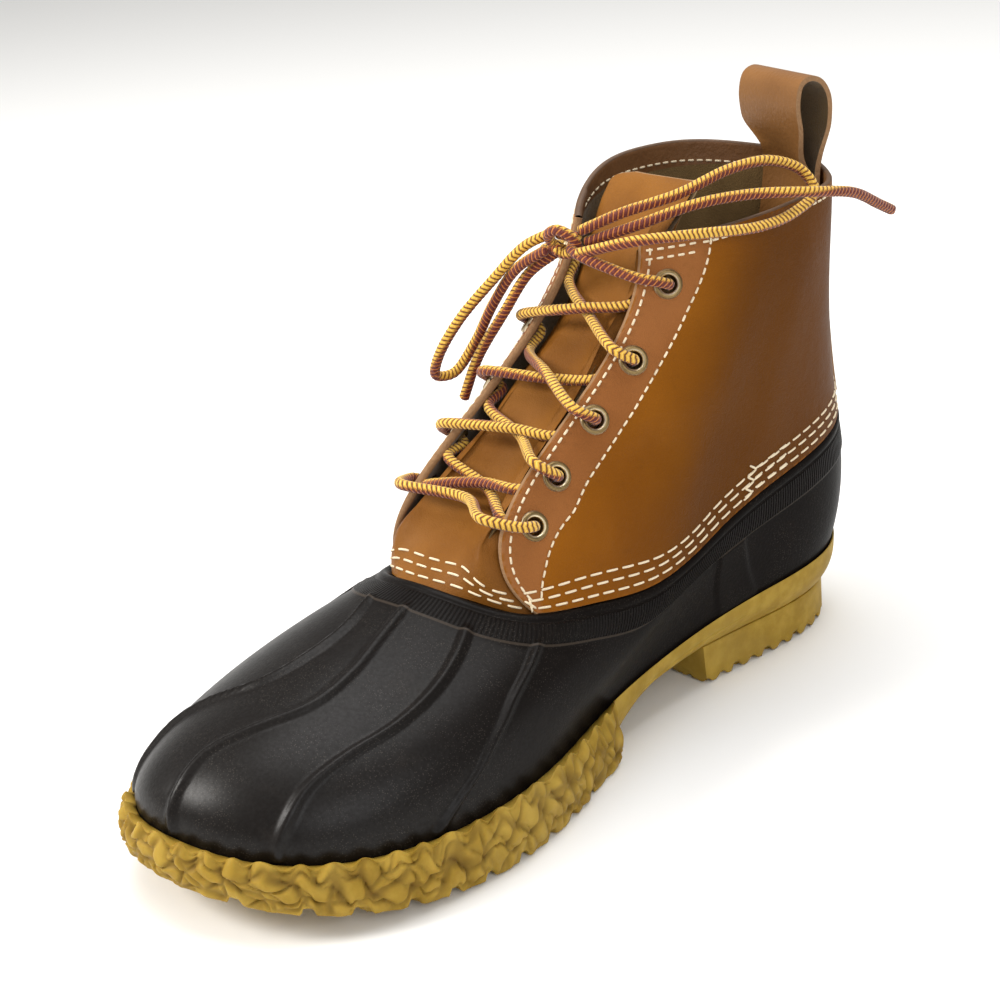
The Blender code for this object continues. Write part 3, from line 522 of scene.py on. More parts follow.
fine = np.linspace(0.30, 0.70, 1601)
behind = fine[edge_line(fine, -HEEL_IN)[:, 1] > -HEEL_BREAST]
heel_places = np.linspace(behind[0], behind[-1], 320)
breast = np.linspace(0, 1, 42)[1:-1, None]
heel_rows = []
for height, in_by in [(0, 0.0022), (0, 0.0012), (0.0003, 0.0005), (0.0010, 0.0001)] + [
        (h, 0.0) for h in np.linspace(0.0018, HEEL_HEIGHT - 0.0012, 12)] + [
        (HEEL_HEIGHT - 0.0005, 0.0003), (HEEL_HEIGHT - GAP, 0.0010)]:
    ring = edge_line(heel_places, -HEEL_IN - in_by)
    ring[:, 1] = np.maximum(ring[:, 1], -HEEL_BREAST + BREAST_LEAN * (1 - height / HEEL_HEIGHT) + in_by)
    ring = np.concatenate([ring, ring[-1] * (1 - breast) + ring[0] * breast])
    heel_run = distance_run(ring[:, :2])
    notch = NOTCH_DEPTH * (0.5 + 0.5 * np.cos(2 * math.pi * heel_run / NOTCH_STEP)) ** 1.4
    ring[:, 2] = height + np.maximum(lug_gaps(ring, HEEL_GAPS), notch) * (1 - eased(height, 0.0005, 0.0050))
    heel_rows.append(ring)
heel_rows = np.array(heel_rows)


def heel_rungs(ring, count):
    """Across the heel block from side to side."""
    return rungs(np.roll(ring, len(breast) // 2, axis=0), count)


under_heel = heel_rungs(heel_rows[0], 60)
under_heel[1:-1, 1:-1, 2] = lug_gaps(under_heel, HEEL_GAPS)[1:-1, 1:-1]
heel_patches = [(heel_rows, True, 0, None), (under_heel, False, 0, None),
                (heel_rungs(heel_rows[-1], 4), False, 0, None)]
heel = piece("heel_block", heel_patches, [gum_rubber], marks={"crevice_shade": marked(heel_patches)}, sharp=40)
stand_for(heel, "heel")

# Rubber bottom: one moulded shell of dark brown rubber, satin and faintly speckled. Ribs fan over the toe,
# and a knurled band and a bead run under the leather's edge. The leather is sewn over the flange above them.
RUBBER_WALL = 0.0028
FLANGE_WALL = 0.0016
FLANGE_HEIGHT = 0.014
LAP_GAP = 0.0005
LEATHER_WALL = 0.0020
LEATHER_PROUD = 0.0009
TONGUE_WALL = 0.0016
THROAT_INNER = 0.16
THROAT_OUTER = 0.84
TONGUE_UNDER = 0.042
BAND_LOW = 0.0125
BAND_TOP = 0.0040
BAND_OUT = 0.0006
BEAD_OUT = 0.0010
BEAD_DOWN = 0.0019
BEAD_HALF = 0.0017
KNURL_STEP = 0.00135
STRAP_RISE = 0.0006
STRAP_HALF = 0.0085
STRAP_PLACES = (0.391, 0.410)
TOPLINE = table("place ahead out up", [
    (0.00, 0.470, 0.12, 0.425),
    (0.08, 0.450, 0.43, 0.405),
    (0.16, 0.400, 0.68, 0.369),
    (0.22, 0.327, 0.72, 0.345),
    (0.29, 0.240, 0.72, 0.327),
    (0.36, 0.147, 0.70, 0.360),
    (0.42, 0.027, 0.65, 0.412),
    (0.46, -0.112, 0.52, 0.450),
    (0.50, -0.182, 0.06, 0.482),
    (0.54, -0.122, -0.42, 0.458),
    (0.58, 0.027, -0.58, 0.417),
    (0.64, 0.147, -0.67, 0.363),
    (0.71, 0.240, -0.69, 0.327),
    (0.78, 0.327, -0.65, 0.345),
    (0.84, 0.405, -0.50, 0.369),
    (0.92, 0.460, -0.22, 0.405),
])
COLLAR = table("place ahead out up", [
    (0.00, 0.150, 0.12, 0.955),
    (0.08, 0.157, 0.28, 0.962),
    (0.16, 0.163, 0.39, 0.970),
    (0.22, 0.107, 0.54, 0.970),
    (0.29, 0.047, 0.64, 0.975),
    (0.36, -0.023, 0.65, 0.980),
    (0.42, -0.090, 0.60, 0.985),
    (0.46, -0.130, 0.47, 0.990),
    (0.50, -0.163, 0.15, 1.005),
    (0.54, -0.153, -0.15, 1.020),
    (0.58, -0.105, -0.40, 1.040),
    (0.64, -0.030, -0.54, 1.050),
    (0.71, 0.033, -0.55, 1.042),
    (0.78, 0.087, -0.47, 1.010),
    (0.84, 0.133, -0.29, 0.975),
    (0.92, 0.143, -0.08, 0.958),
])
# How the skin leaves the sole's edge and meets the topline: rise and drop are shares of the shaft's height,
# swell and spread are shares of the length, outward in plan.
RUBBER_CURVE = table("place swell rise spread drop", [
    (0.00, 0.012, 0.130, 0.190, 0.070),
    (0.08, 0.012, 0.120, 0.150, 0.080),
    (0.16, 0.007, 0.108, 0.070, 0.068),
    (0.22, 0.003, 0.090, 0.038, 0.065),
    (0.29, 0.003, 0.071, 0.017, 0.083),
    (0.36, 0.003, 0.071, 0.003, 0.071),
    (0.42, 0.008, 0.077, 0.007, 0.077),
    (0.50, 0.018, 0.095, 0.010, 0.095),
    (0.58, 0.008, 0.077, 0.007, 0.077),
    (0.64, 0.003, 0.071, 0.003, 0.071),
    (0.71, 0.003, 0.071, 0.017, 0.083),
    (0.78, 0.003, 0.090, 0.038, 0.065),
    (0.84, 0.007, 0.100, 0.065, 0.075),
    (0.92, 0.012, 0.100, 0.145, 0.080),
])
# The leather's two handles, above the topline and below the collar, as moves forward, outward and up.
LEATHER_FOOT = table("place ahead out up", [
    (0.00, -0.075, 0.00, 0.105),
    (0.08, 0.015, -0.20, 0.135),
    (0.16, 0.105, -0.36, 0.225),
    (0.22, 0.045, -0.20, 0.200),
    (0.29, -0.030, -0.04, 0.190),
    (0.36, -0.020, -0.03, 0.200),
    (0.42, 0.005, -0.04, 0.190),
    (0.50, 0.015, 0.00, 0.170),
    (0.58, 0.005, 0.04, 0.190),
    (0.64, -0.020, 0.03, 0.200),
    (0.71, -0.030, 0.04, 0.190),
    (0.78, 0.030, 0.18, 0.200),
    (0.84, 0.080, 0.30, 0.240),
    (0.92, 0.000, 0.14, 0.130),
])
LEATHER_HEAD = table("place ahead out up", [
    (0.00, 0.060, 0.02, -0.170),
    (0.08, 0.050, 0.03, -0.190),
    (0.16, 0.010, 0.06, -0.300),
    (0.22, 0.025, 0.05, -0.250),
    (0.29, 0.035, 0.02, -0.190),
    (0.36, 0.015, 0.02, -0.190),
    (0.42, 0.005, 0.02, -0.180),
    (0.50, 0.003, 0.00, -0.170),
    (0.58, 0.005, -0.02, -0.180),
    (0.64, 0.015, -0.04, -0.190),
    (0.71, 0.035, -0.04, -0.190),
    (0.78, 0.045, 0.00, -0.240),
    (0.84, 0.060, 0.04, -0.280),
    (0.92, 0.060, 0.02, -0.170),
])

# The ribs' middles: how far each lies round the boot at shares of the rubber's depth below the topline.
RIBS = table("down far_side outer middle inner near_side", [
    (0.08, -0.155, -0.040, 0.016, 0.090, 0.158),
    (0.22, -0.156, -0.016, 0.024, 0.096, 0.156),
    (0.38, -0.158, -0.012, 0.032, 0.097, 0.156),
    (0.52, -0.163, -0.022, 0.030, 0.091, 0.161),
    (0.64, -0.168, -0.050, 0.014, 0.079, 0.165),
    (0.76, -0.170, -0.072, 0.001, 0.073, 0.169),
    (0.88, -0.166, -0.077, 0.003, 0.076, 0.167),
    (1.00, -0.160, -0.075, 0.009, 0.079, 0.161),
])
RIB_HALF = 0.0025
RIB_RISE = 0.0016
PROFILE_STEPS = 140


def bezier(a, b, c, d, s):
    s = s[None, :, None]
    a, b, c, d = (p[:, None, :] for p in (a, b, c, d))
    return a * (1 - s) ** 3 + 3 * b * s * (1 - s) ** 2 + 3 * c * s**2 * (1 - s) + d * s**3


def profiles(place):
    """The skin's fine profile at each place: points, and their distance along it above the topline."""
    up = np.array([0, 0, 1.0])
    edge, top, collar = (points_of(rows, place) for rows in (SOLE_EDGE, TOPLINE, COLLAR))
    swell, rise, spread, drop = (
        around(RUBBER_CURVE, name, place)[:, None] for name in ("swell", "rise", "spread", "drop"))
    share = np.linspace(0, 1, PROFILE_STEPS)
    rubber = bezier(
        edge,
        edge + outward(SOLE_EDGE, place) * swell * LENGTH + up * rise * SHAFT_HEIGHT,
        top + outward(TOPLINE, place) * spread * LENGTH - up * drop * SHAFT_HEIGHT,
        top, share)
    leather = bezier(
        top, top + points_of(LEATHER_FOOT, place), collar + points_of(LEATHER_HEAD, place), collar, share)
    seat = (edge - up * SEAT_DEPTH)[:, None, :]
    points = np.concatenate([seat, rubber, leather[:, 1:]], axis=1)
    reach = np.cumsum(np.linalg.norm(np.diff(points, axis=1), axis=-1), axis=1)
    reach = np.concatenate([np.zeros((len(place), 1)), reach], axis=1)
    return points, reach - reach[:, [PROFILE_STEPS]]


def skin(place, height, offset=0.0):
    """Points of the skin, moved out by offset. Height is the distance along it above the topline, one row of
    heights for each place, or one row for them all."""
    place = np.asarray(place, float)
    height = np.broadcast_to(np.asarray(height, float), (len(place), np.shape(height)[-1]))
    offset = np.broadcast_to(np.asarray(offset, float), height.shape)
    step = 0.003
    points, reach = profiles(place)
    across = profiles(place + step)[0] - profiles(place - step)[0]
    normal = unit(np.cross(across, np.gradient(points, axis=1)))
    found = np.empty(height.shape + (3,))
    for i in range(len(place)):
        way = unit(along(height[i], reach[i], normal[i]))
        found[i] = along(height[i], reach[i], points[i]) + way * offset[i][:, None]
    return found


def rubber_length(place):
    """How far below the topline the sole's edge lies along the skin."""
    return -profiles(np.asarray(place, float))[1][:, 1]


def leather_length(place):
    return profiles(np.asarray(place, float))[1][:, -1]


def flange_depth(place):
    """How far the rubber's stitched flange lies under the skin: one leather thick, and two in front, where
    the tongue's foot lies under the quarters."""
    front = np.minimum(np.mod(place, 1), 1 - np.mod(place, 1))
    one = LEATHER_WALL - LEATHER_PROUD + LAP_GAP
    two = one + TONGUE_WALL + 1.8 * LAP_GAP
    inner_end, outer_end = THROAT_INNER + TONGUE_UNDER + 0.006, THROAT_INNER + TONGUE_UNDER + 0.040
    return two + (one - two) * eased(front, inner_end, outer_end)


rubber_places = both_sides(half)[::2]
length = rubber_length(rubber_places)[:, None]
down = np.concatenate([np.linspace(1, 0, 62, endpoint=False), [0]])
heights = np.concatenate([
    -length - SEAT_DEPTH,
    -BAND_LOW - (length - BAND_LOW) * down,
    -BAND_LOW + np.linspace(0, BAND_LOW, 30)[1:] + 0 * length,
], axis=1)
plain = skin(rubber_places, heights)
per_place = np.linalg.norm(np.gradient(plain, axis=0), axis=-1)
place_step = np.abs(np.gradient(np.unwrap(rubber_places * 2 * math.pi) / (2 * math.pi)))[:, None]
depth_share = np.clip(-heights / length, 0, 1)
relief = 0 * heights
for rib in ("far_side", "outer", "middle", "inner", "near_side"):
    middle_line, _ = smooth(np.stack([RIBS[rib], RIBS["down"], 0 * RIBS["down"]], axis=1), 0.004)
    centre = np.interp(depth_share, middle_line[:, 1], middle_line[:, 0])
    off = np.abs((rubber_places[:, None] - centre + 0.5) % 1 - 0.5) * per_place / place_step
    ridge = np.cos(np.clip(off / RIB_HALF, 0, 1) * math.pi / 2) ** 1.3
    ends = eased(-heights, BAND_LOW - 0.0035, BAND_LOW + 0.0025)
    relief = np.maximum(relief, RIB_RISE * ridge * ends)
relief += BAND_OUT * eased(heights, -BAND_LOW - 0.0004, -BAND_LOW + 0.0002) * (
    1 - eased(heights, -BAND_TOP - 0.0001, -BAND_TOP + 0.0005))
bead = np.clip((heights + BEAD_DOWN) / BEAD_HALF, -1, 1)
relief += BEAD_OUT * np.sqrt(1 - bead**2)
strap = np.abs(rubber_places[:, None] - np.interp(depth_share, [0.18, 0.94], STRAP_PLACES))
strap = (1 - eased(strap, STRAP_HALF, STRAP_HALF + 0.0025)) * eased(-heights, BAND_LOW, BAND_LOW + 0.0008)
relief = (relief + STRAP_RISE * strap) * eased(heights, -length, -length + 0.0006)
outside = skin(rubber_places, heights, relief)
flange = -flange_depth(rubber_places)[:, None]
hidden = [skin(rubber_places, np.full((len(length), 1), h), flange + w) for h, w in (
    (0.0, 0.0), (FLANGE_HEIGHT, 0.0), (FLANGE_HEIGHT, -FLANGE_WALL), (0.0, -FLANGE_WALL))]
inside_heights = np.concatenate([
    -BAND_LOW - (length - BAND_LOW) * np.linspace(0, 1, 12), -length - SEAT_DEPTH], axis=1)
inside = skin(rubber_places, inside_heights, -RUBBER_WALL)
shell = np.concatenate([outside, *hidden, inside, outside[:, :1]], axis=1).transpose(1, 0, 2)
rubber_run = distance_run(np.concatenate([outside[:, -8], outside[:1, -8]]))
tall = np.concatenate([heights, np.full((len(length), len(shell) - heights.shape[1]), 0.05)], axis=1).T
tall = np.concatenate([tall, tall[:, :1]], axis=1)
rubber_chart = np.stack([np.broadcast_to(rubber_run[None], tall.shape), tall], axis=-1)

rubber = Finish("dark_rubber")
round_it, tall_at = rubber.chart()
knurl = (round_it / KNURL_STEP).wave() * tall_at.step(-0.0123, -0.0119) * (1 - tall_at.step(-0.0046, -0.0042))
speckle = rubber.cells(1500).step(0.30, 0.12) * rubber.noise(60, 2).step(0.35, 0.65)
scuff = rubber.noise(55, 6, Roughness=0.65).step(0.56, 0.74)
rubber_colour = rubber.mix(scuff * 0.6, (0.0056, 0.0042, 0.0035), (0.0130, 0.0102, 0.0085))
rubber_colour = rubber.mix(speckle * 0.45, rubber_colour, (0.085, 0.072, 0.060))
heelward = rubber.node("ShaderNodeSeparateXYZ", {}, {0: rubber.at}, 1)
toe_gloss = (1 - heelward.step(-0.215, -0.085)) * (0.25 + rubber.noise(900, 3).step(0.20, 0.80) * 0.14)
line_under = tall_at.step(-0.0133, -0.0129) * (1 - tall_at.step(-0.0125, -0.0121))
dark_rubber = rubber.set(
    Base_Color=rubber.mix(line_under * 0.3, rubber_colour, (0.10, 0.075, 0.055)), Specular_IOR_Level=0.03,
    Roughness=0.34 + scuff * 0.16 + rubber.noise(300) * 0.10,
    Coat_Weight=toe_gloss * (1 - knurl * 0.8), Coat_Roughness=0.36,
    Normal=rubber.bump(rubber.noise(850, 3), 0.00010, rubber.bump(knurl, 0.0006)))
rubber_bottom = piece("rubber_shell", [(shell, True, 0, rubber_chart)], [dark_rubber], sharp=60)
stand_for(rubber_bottom, "rubber_bottom")

# Insole: a flat pad of brown felted leather, cut to the sole's shape and laid loose on it inside the rubber.
# Its edges are pressed round.
INSOLE_WALL = 0.0040
INSOLE_GAP = 0.0016
pad_half, _ = spaced(SOLE_EDGE, 0.003, 0, 0.5)
pad_places = both_sides(pad_half)
pad_rings = []
for shrink, lift in ((0.0010, 0), (0.0003, 0.0003), (0, 0.0010), (0, INSOLE_WALL - 0.0010),
                     (0.0003, INSOLE_WALL - 0.0003), (0.0010, INSOLE_WALL)):
    ring = edge_line(pad_places, -RUBBER_WALL - INSOLE_GAP - shrink)
    ring[:, 2] += lift - SEAT_DEPTH
    pad_rings.append(ring)
pad = Finish("felted_pad")
felted_pad = pad.set(
    Base_Color=pad.mix(pad.noise(300, 5), (0.10, 0.062, 0.034), (0.26, 0.17, 0.095)), Roughness=0.92,
    Normal=pad.bump(pad.noise(1400, 4), 0.0004))
insole = piece("insole_pad", [
    (np.array(pad_rings), True, 0, None), (rungs(pad_rings[0], 10), False, 0, None),
    (rungs(pad_rings[-1], 30), False, 0, None)], [felted_pad])
stand_for(insole, "insole")

# Leather upper: one wall of smooth tan leather from one throat edge round the heel to the other, two layers
# thick beside the throat. Its foot is sewn over the rubber's flange. Inside it shows its khaki flesh side,
# and its cut edges are raw and pale.
FACING_WALL = 0.0007
# Soft folds: place and share of the leather's height at each end, width and depth in millimetres, a ridge's
# depth positive.
FOLDS = table("place_a share_a place_b share_b width depth", [
    (0.190, 0.30, 0.255, 0.40, 9.0, -1.0),
    (0.255, 0.40, 0.330, 0.36, 10.0, -0.9),
    (0.200, 0.42, 0.270, 0.52, 9.0, 0.7),
    (0.290, 0.10, 0.315, 0.55, 12.0, 0.6),
    (0.360, 0.12, 0.370, 0.70, 11.0, -0.9),
    (0.415, 0.20, 0.405, 0.80, 10.0, 0.7),
    (0.240, 0.62, 0.300, 0.86, 11.0, -0.7),
    (0.185, 0.24, 0.215, 0.18, 5.0, -0.6),
    (0.182, 0.37, 0.225, 0.31, 3.2, -0.45),
    (0.186, 0.53, 0.222, 0.47, 3.0, -0.35),
    (0.640, 0.35, 0.720, 0.45, 10.0, -0.9),
    (0.720, 0.45, 0.800, 0.33, 9.0, -0.8),
    (0.600, 0.15, 0.610, 0.70, 11.0, 0.7),
])


fold_lines = []
for row in zip(*FOLDS.values()):
    s = np.linspace(0, 1, 14)
    line_places = row[0] + (row[2] - row[0]) * s
    line_heights = (row[1] + (row[3] - row[1]) * s) * leather_length(line_places)
    fold_lines.append((skin(line_places, line_heights[:, None])[:, 0], row[4] / 1000, row[5] / 1000))


def folded(points):
    """How far the leather stands out of the last at points on it, by the folds."""
    total = np.zeros(points.shape[:-1])
    for line, width, depth in fold_lines:
        near = np.min(np.linalg.norm(points[..., None, :] - line, axis=-1), axis=-1)
        total += depth * np.exp(-(near / width) ** 2)
    return total


def leather_face(place, height, lift=0.0):
    """The leather's outer face, one row of heights for each place, lifted off it by a little."""
    plain = skin(place, height, LEATHER_PROUD)
    return skin(place, height, LEATHER_PROUD + folded(plain) + lift)


leather_places, leather_run = spaced(TOPLINE, 0.00125, THROAT_INNER, THROAT_OUTER)
above = leather_length(leather_places)[:, None]
up_share = np.linspace(0, 1, 112)
leather_heights = GAP + (above - GAP) * up_share
throat_near = np.minimum(leather_places - THROAT_INNER, THROAT_OUTER - leather_places)[:, None]
outer_wall = leather_face(leather_places, leather_heights).transpose(1, 0, 2)
facing_share = (1 - eased(throat_near, 0.05, 0.06)) * eased(leather_heights, 0.02, 0.03)
inner_lift = -LEATHER_WALL - FACING_WALL * facing_share
inner_wall = leather_face(leather_places, leather_heights, inner_lift).transpose(1, 0, 2)


def hem(one, other, within, out=0.25):
    """A rounded edge between two lines of a wall. It stands out from them by a share of the wall, away from a
    line within it."""
    middle = (one + other) / 2
    thick = np.linalg.norm(one - other, axis=-1, keepdims=True)
    beyond = unit(np.cross(np.gradient(middle, axis=0), one - other)) * thick * out
    near, far = (np.mean(np.linalg.norm(line - within, axis=-1)) for line in (middle, middle + beyond))
    turn = np.linspace(0, math.pi, 5)[:, None, None]
    return middle + (one - middle) * np.cos(turn) + (beyond if far > near else -beyond) * np.sin(turn)


leather_chart = np.stack(np.broadcast_arrays(leather_run[None], leather_heights.T), axis=-1)
upper_patches = [
    (outer_wall, False, 0, leather_chart),
    (inner_wall[:-8], False, 1, leather_chart[:-8]),
    (inner_wall[-9:], False, 4, leather_chart[-9:]),
    (hem(outer_wall[:, 0], inner_wall[:, 0], outer_wall[:, 8]), False, 2, None),
    (hem(outer_wall[:, -1], inner_wall[:, -1], outer_wall[:, -9]), False, 2, None),
    (hem(outer_wall[-1], inner_wall[-1], outer_wall[-8], out=0.35), False, 3, None),
    (np.stack([outer_wall[0], inner_wall[0]]), False, 2, None),
]
FACING = table("share width", [
    (0.00, 0.001),
    (0.12, 0.014),
    (0.25, 0.024),
    (0.50, 0.024),
    (0.80, 0.022),
    (1.00, 0.024),
])


def facing_width(share):
    """How wide the second layer beside the throat is at a share of the leather's height."""
    return np.interp(share, FACING["share"], FACING["width"])


def seam_place(edge, share, distance):
    """The place at a distance in metres from a throat edge, at a share of the leather's height. Distances are
    positive on the leather and negative into the throat."""
    reach = np.linspace(-0.10, 0.16, 105)
    fine = edge + (1 if edge < 0.5 else -1) * reach
    line = skin(fine, (share * leather_length(fine))[:, None])[:, 0]
    run = distance_run(line)
    run -= np.interp(0, reach, run)
    return np.interp(distance, run, fine)


facing_edge = np.array([
    [seam_place(edge, s, facing_width(s)) for s in up_share] for edge in (THROAT_INNER, THROAT_OUTER)])
front_panel = np.maximum(
    1 - eased(leather_places[None] - facing_edge[0][:, None], -0.001, 0.001),
    eased(leather_places[None] - facing_edge[1][:, None], -0.001, 0.001))
edge_wear = np.exp(-throat_near.T / 0.006) + 0.6 * np.exp(-(above.T - leather_heights.T) / 0.003)
# Painted shade: the leather darkens from the sides round to the heel, partly its own darker tone, partly the
# shade that falls there away from the lamps.
back_tone_and_painted_shade = eased(0.5 - np.abs(leather_places - 0.5), 0.205, 0.35)[None] + 0 * outer_wall[..., 0]

tan = Finish("tan_leather")
tan_run, tan_up = tan.chart()
panel, wear, shade = tan.mark("panel"), tan.mark("wear"), tan.mark("shade")
clouds = tan.noise(22, 3, Roughness=0.5)
pores = tan.cells(2600)
side_tan = tan.mix(clouds.step(0.28, 0.72), (0.195, 0.061, 0.0026), (0.262, 0.087, 0.0050))
front_tan = tan.mix(clouds.step(0.32, 0.68), (0.225, 0.078, 0.019), (0.295, 0.110, 0.031))
tan_colour = tan.mix(panel, side_tan, front_tan)
# The shade mark paints that darkening: part darker leather, part painted shade.
tan_colour = tan.mix((shade * 0.80).clamp(), tan_colour, (0.070, 0.022, 0.0010))
tan_colour = tan.mix(tan.noise(210, 5).step(0.60, 0.74) * 0.12, tan_colour, (0.075, 0.030, 0.003))
tan_colour = tan.mix((wear * 0.30).clamp(), tan_colour, (0.36, 0.17, 0.070))
fine_lines = tan.noise(420, 6, Distortion=1.1)
tan_leather = tan.set(
    Base_Color=tan_colour, Roughness=0.40 + clouds * 0.12, Specular_IOR_Level=0.05, Coat_Weight=0.02,
    Coat_Roughness=0.25,
    Normal=tan.bump(pores * 0.5 + fine_lines, 0.00022, tan.bump(tan.noise(46, 5), 0.0011)))
suede = Finish("khaki_flesh_side")
khaki_flesh_side = suede.set(
    Base_Color=suede.mix(suede.noise(120, 6), (0.105, 0.062, 0.022), (0.215, 0.135, 0.052)), Roughness=0.95,
    Specular_IOR_Level=0.1, Sheen_Weight=0.2, Normal=suede.bump(suede.noise(1700, 4), 0.0004))
raw = Finish("raw_edge")
raw_edge = raw.set(
    Base_Color=raw.mix(raw.noise(900, 4), (0.20, 0.098, 0.038), (0.36, 0.205, 0.095)), Roughness=0.85,
    Normal=raw.bump(raw.noise(2200, 3), 0.0003))
hemmed = Finish("dark_collar_edge")
dark_collar_edge = hemmed.set(
    Base_Color=hemmed.mix(hemmed.noise(250, 4), (0.055, 0.026, 0.011), (0.135, 0.066, 0.026)), Roughness=0.6)
band = Finish("collar_facing")
collar_facing = band.set(
    Base_Color=band.mix(band.noise(80, 4), (0.110, 0.045, 0.014), (0.205, 0.095, 0.035)), Roughness=0.5,
    Specular_IOR_Level=0.3, Normal=band.bump(band.noise(600, 4), 0.0003))
upper_finishes = [tan_leather, khaki_flesh_side, raw_edge, dark_collar_edge, collar_facing]
upper = piece(
    "leather_shaft", upper_patches, upper_finishes, sharp=60,
    marks={"panel": marked(upper_patches, front_panel), "wear": marked(upper_patches, edge_wear),
           "shade": marked(upper_patches, back_tone_and_painted_shade)})

# The holes for the eyelets, punched through both layers under the brass flanges.
EYELET_IN = 0.0105
EYELET_SHARES = (0.225, 0.355, 0.515, 0.685, 0.885)
HOLE_RADIUS = 0.0037
HOLE_REACH = 0.006


def over_leather(edge, share, distance, lift):
    """A point over the leather beside the throat, its way out of the leather, and its lift off the face."""
    place = np.array([seam_place(edge, share, distance)])
    height = share * leather_length(place)[:, None]
    at = leather_face(place, height, lift)[0, 0]
    return at, unit(leather_face(place, height, lift + 0.001)[0, 0] - at)


eyelet_spots = {
    side: [over_leather(edge, share, EYELET_IN, 0.0) for share in EYELET_SHARES]
    for side, edge in (("inner", THROAT_INNER), ("outer", THROAT_OUTER))}
shape = bmesh.new()
shape.from_mesh(upper.data)
centres = np.array([face.calc_center_median() for face in shape.faces])
punched = np.zeros(len(centres), bool)
for spots in eyelet_spots.values():
    for at, way in spots:
        away = centres - at
        depth = away @ way
        aside = np.linalg.norm(away - depth[:, None] * way, axis=1)
        punched |= (aside < HOLE_RADIUS) & (np.abs(depth) < HOLE_REACH)
shape.faces.ensure_lookup_table()
bmesh.ops.delete(shape, geom=[shape.faces[i] for i in np.nonzero(punched)[0]], context="FACES")
shape.to_mesh(upper.data)
shape.free()
stand_for(upper, "leather_upper")

# Tongue: one piece of lighter tan leather. Its foot is the boot's front, sewn over the rubber's flange, and
# from there it runs up under the laces and leans back inside the collar, with a rounded top.
TONGUE_SINK = 0.0052
TONGUE_RIPPLE = 0.0007
TONGUE_TOP = table("lean rise narrow flat shift", [
    (0.000, 0.000, 1.00, 0.00, 0.000),
    (0.018, 0.032, 0.99, 0.20, 0.005),
    (0.042, 0.064, 0.96, 0.45, 0.011),
    (0.062, 0.086, 0.88, 0.62, 0.014),
    (0.072, 0.096, 0.66, 0.70, 0.016),
])

tongue_places, tongue_run = spaced(
    TOPLINE, 0.0014, -THROAT_INNER - TONGUE_UNDER + 0.002, THROAT_INNER + TONGUE_UNDER - 0.002)
tongue_above = leather_length(tongue_places)[:, None]
tongue_share = np.linspace(0, 0.97, 92)
tongue_heights = GAP + (tongue_above - GAP) * tongue_share
sunk = TONGUE_SINK * eased(tongue_heights, 0.017, 0.042)
ripple = TONGUE_RIPPLE * np.sin(tongue_heights / 0.0085 + 2.2 * np.sin(tongue_places * 14)[:, None]) * eased(
    tongue_heights, 0.02, 0.05)
tongue_face = -(LEATHER_WALL - LEATHER_PROUD + LAP_GAP)
top_s = distance_run(np.stack([TONGUE_TOP["lean"] * LENGTH, TONGUE_TOP["rise"] * SHAFT_HEIGHT], axis=1))
top_at = np.linspace(0, top_s[-1], 26)
top_curve = {k: np.interp(top_at, top_s, v) for k, v in TONGUE_TOP.items()}
rounding = eased(top_at, top_s[-1] - 0.0105, top_s[-1] + 0.004) ** 1.4
top_curve["narrow"] = 1 - 0.36 * rounding - 0.04 * top_at / top_s[-1]
tongue_walls = []
for lift in (tongue_face, tongue_face - TONGUE_WALL):
    body = skin(tongue_places, tongue_heights, lift - sunk + ripple).transpose(1, 0, 2)
    crest, centre = body[-1], body[-1][len(tongue_places) // 2]
    grown = []
    for lean, rise, narrow, flat, shift in list(zip(*top_curve.values()))[1:]:
        row = centre + (crest - centre) * narrow
        row[:, 1] += (row[:, 1].mean() - row[:, 1]) * min(1, 1.35 * flat)
        row[:, 2] += (row[:, 2].max() - row[:, 2]) * min(1, 1.5 * flat)
        grown.append(row + np.array([shift * BALL_WIDTH, lean * LENGTH, rise * SHAFT_HEIGHT]))
    tongue_walls.append(np.concatenate([body, np.array(grown)]))
face_of, back_of = tongue_walls
tongue_patches = [
    (face_of, False, 0, None), (back_of, False, 1, None),
    (hem(face_of[:, 0], back_of[:, 0], face_of[:, 6]), False, 2, None),
    (hem(face_of[:, -1], back_of[:, -1], face_of[:, -7]), False, 2, None),
    (hem(face_of[-1], back_of[-1], face_of[-6]), False, 2, None),
    (np.stack([face_of[0], back_of[0]]), False, 2, None),
]
pale = Finish("pale_tan_leather")
pale_clouds = pale.noise(30, 4)
pale_tan_leather = pale.set(
    Base_Color=pale.mix(pale_clouds.step(0.3, 0.7), (0.170, 0.062, 0.0085), (0.245, 0.098, 0.017)),
    Roughness=0.42 + pale_clouds * 0.12, Specular_IOR_Level=0.08, Coat_Weight=0.02, Coat_Roughness=0.3,
    Normal=pale.bump(pale.cells(2600) * 0.5 + pale.noise(420, 6, Distortion=1.1), 0.00022,
                     pale.bump(pale.noise(60, 5), 0.0008)))
tongue = piece("tongue_leather", tongue_patches, [pale_tan_leather, khaki_flesh_side, raw_edge], sharp=60)
stand_for(tongue, "tongue")

# Backstay: a narrow strip of the tongue's leather over the seam at the heel, from the rubber up to the
# collar. One row of stitches holds each side.
STAY_REACH = 0.016
STAY_WALL = 0.0015
stay_places = 0.5 + np.linspace(-1, 1, 15) * STAY_REACH
stay_length = leather_length(stay_places)[:, None]
stay_heights = 0.002 + (stay_length - 0.004) * np.linspace(0, 1, 90)
stay_low, stay_high = (
    leather_face(stay_places, stay_heights, GAP + lift).transpose(1, 0, 2) for lift in (0, STAY_WALL))


def strip_patches(face, back):
    """A strip's two faces, and its four square edges in the last finish."""
    edges = [np.stack([face[at], back[at]]) for at in (np.s_[:, 0], np.s_[:, -1], 0, -1)]
    return [(face, False, 0, None), (back, False, 1, None)] + [(edge, False, 2, None) for edge in edges]


backstay = piece("backstay_strip", strip_patches(stay_high, stay_low),
                 [pale_tan_leather, pale_tan_leather, raw_edge], sharp=50)
stand_for(backstay, "backstay")

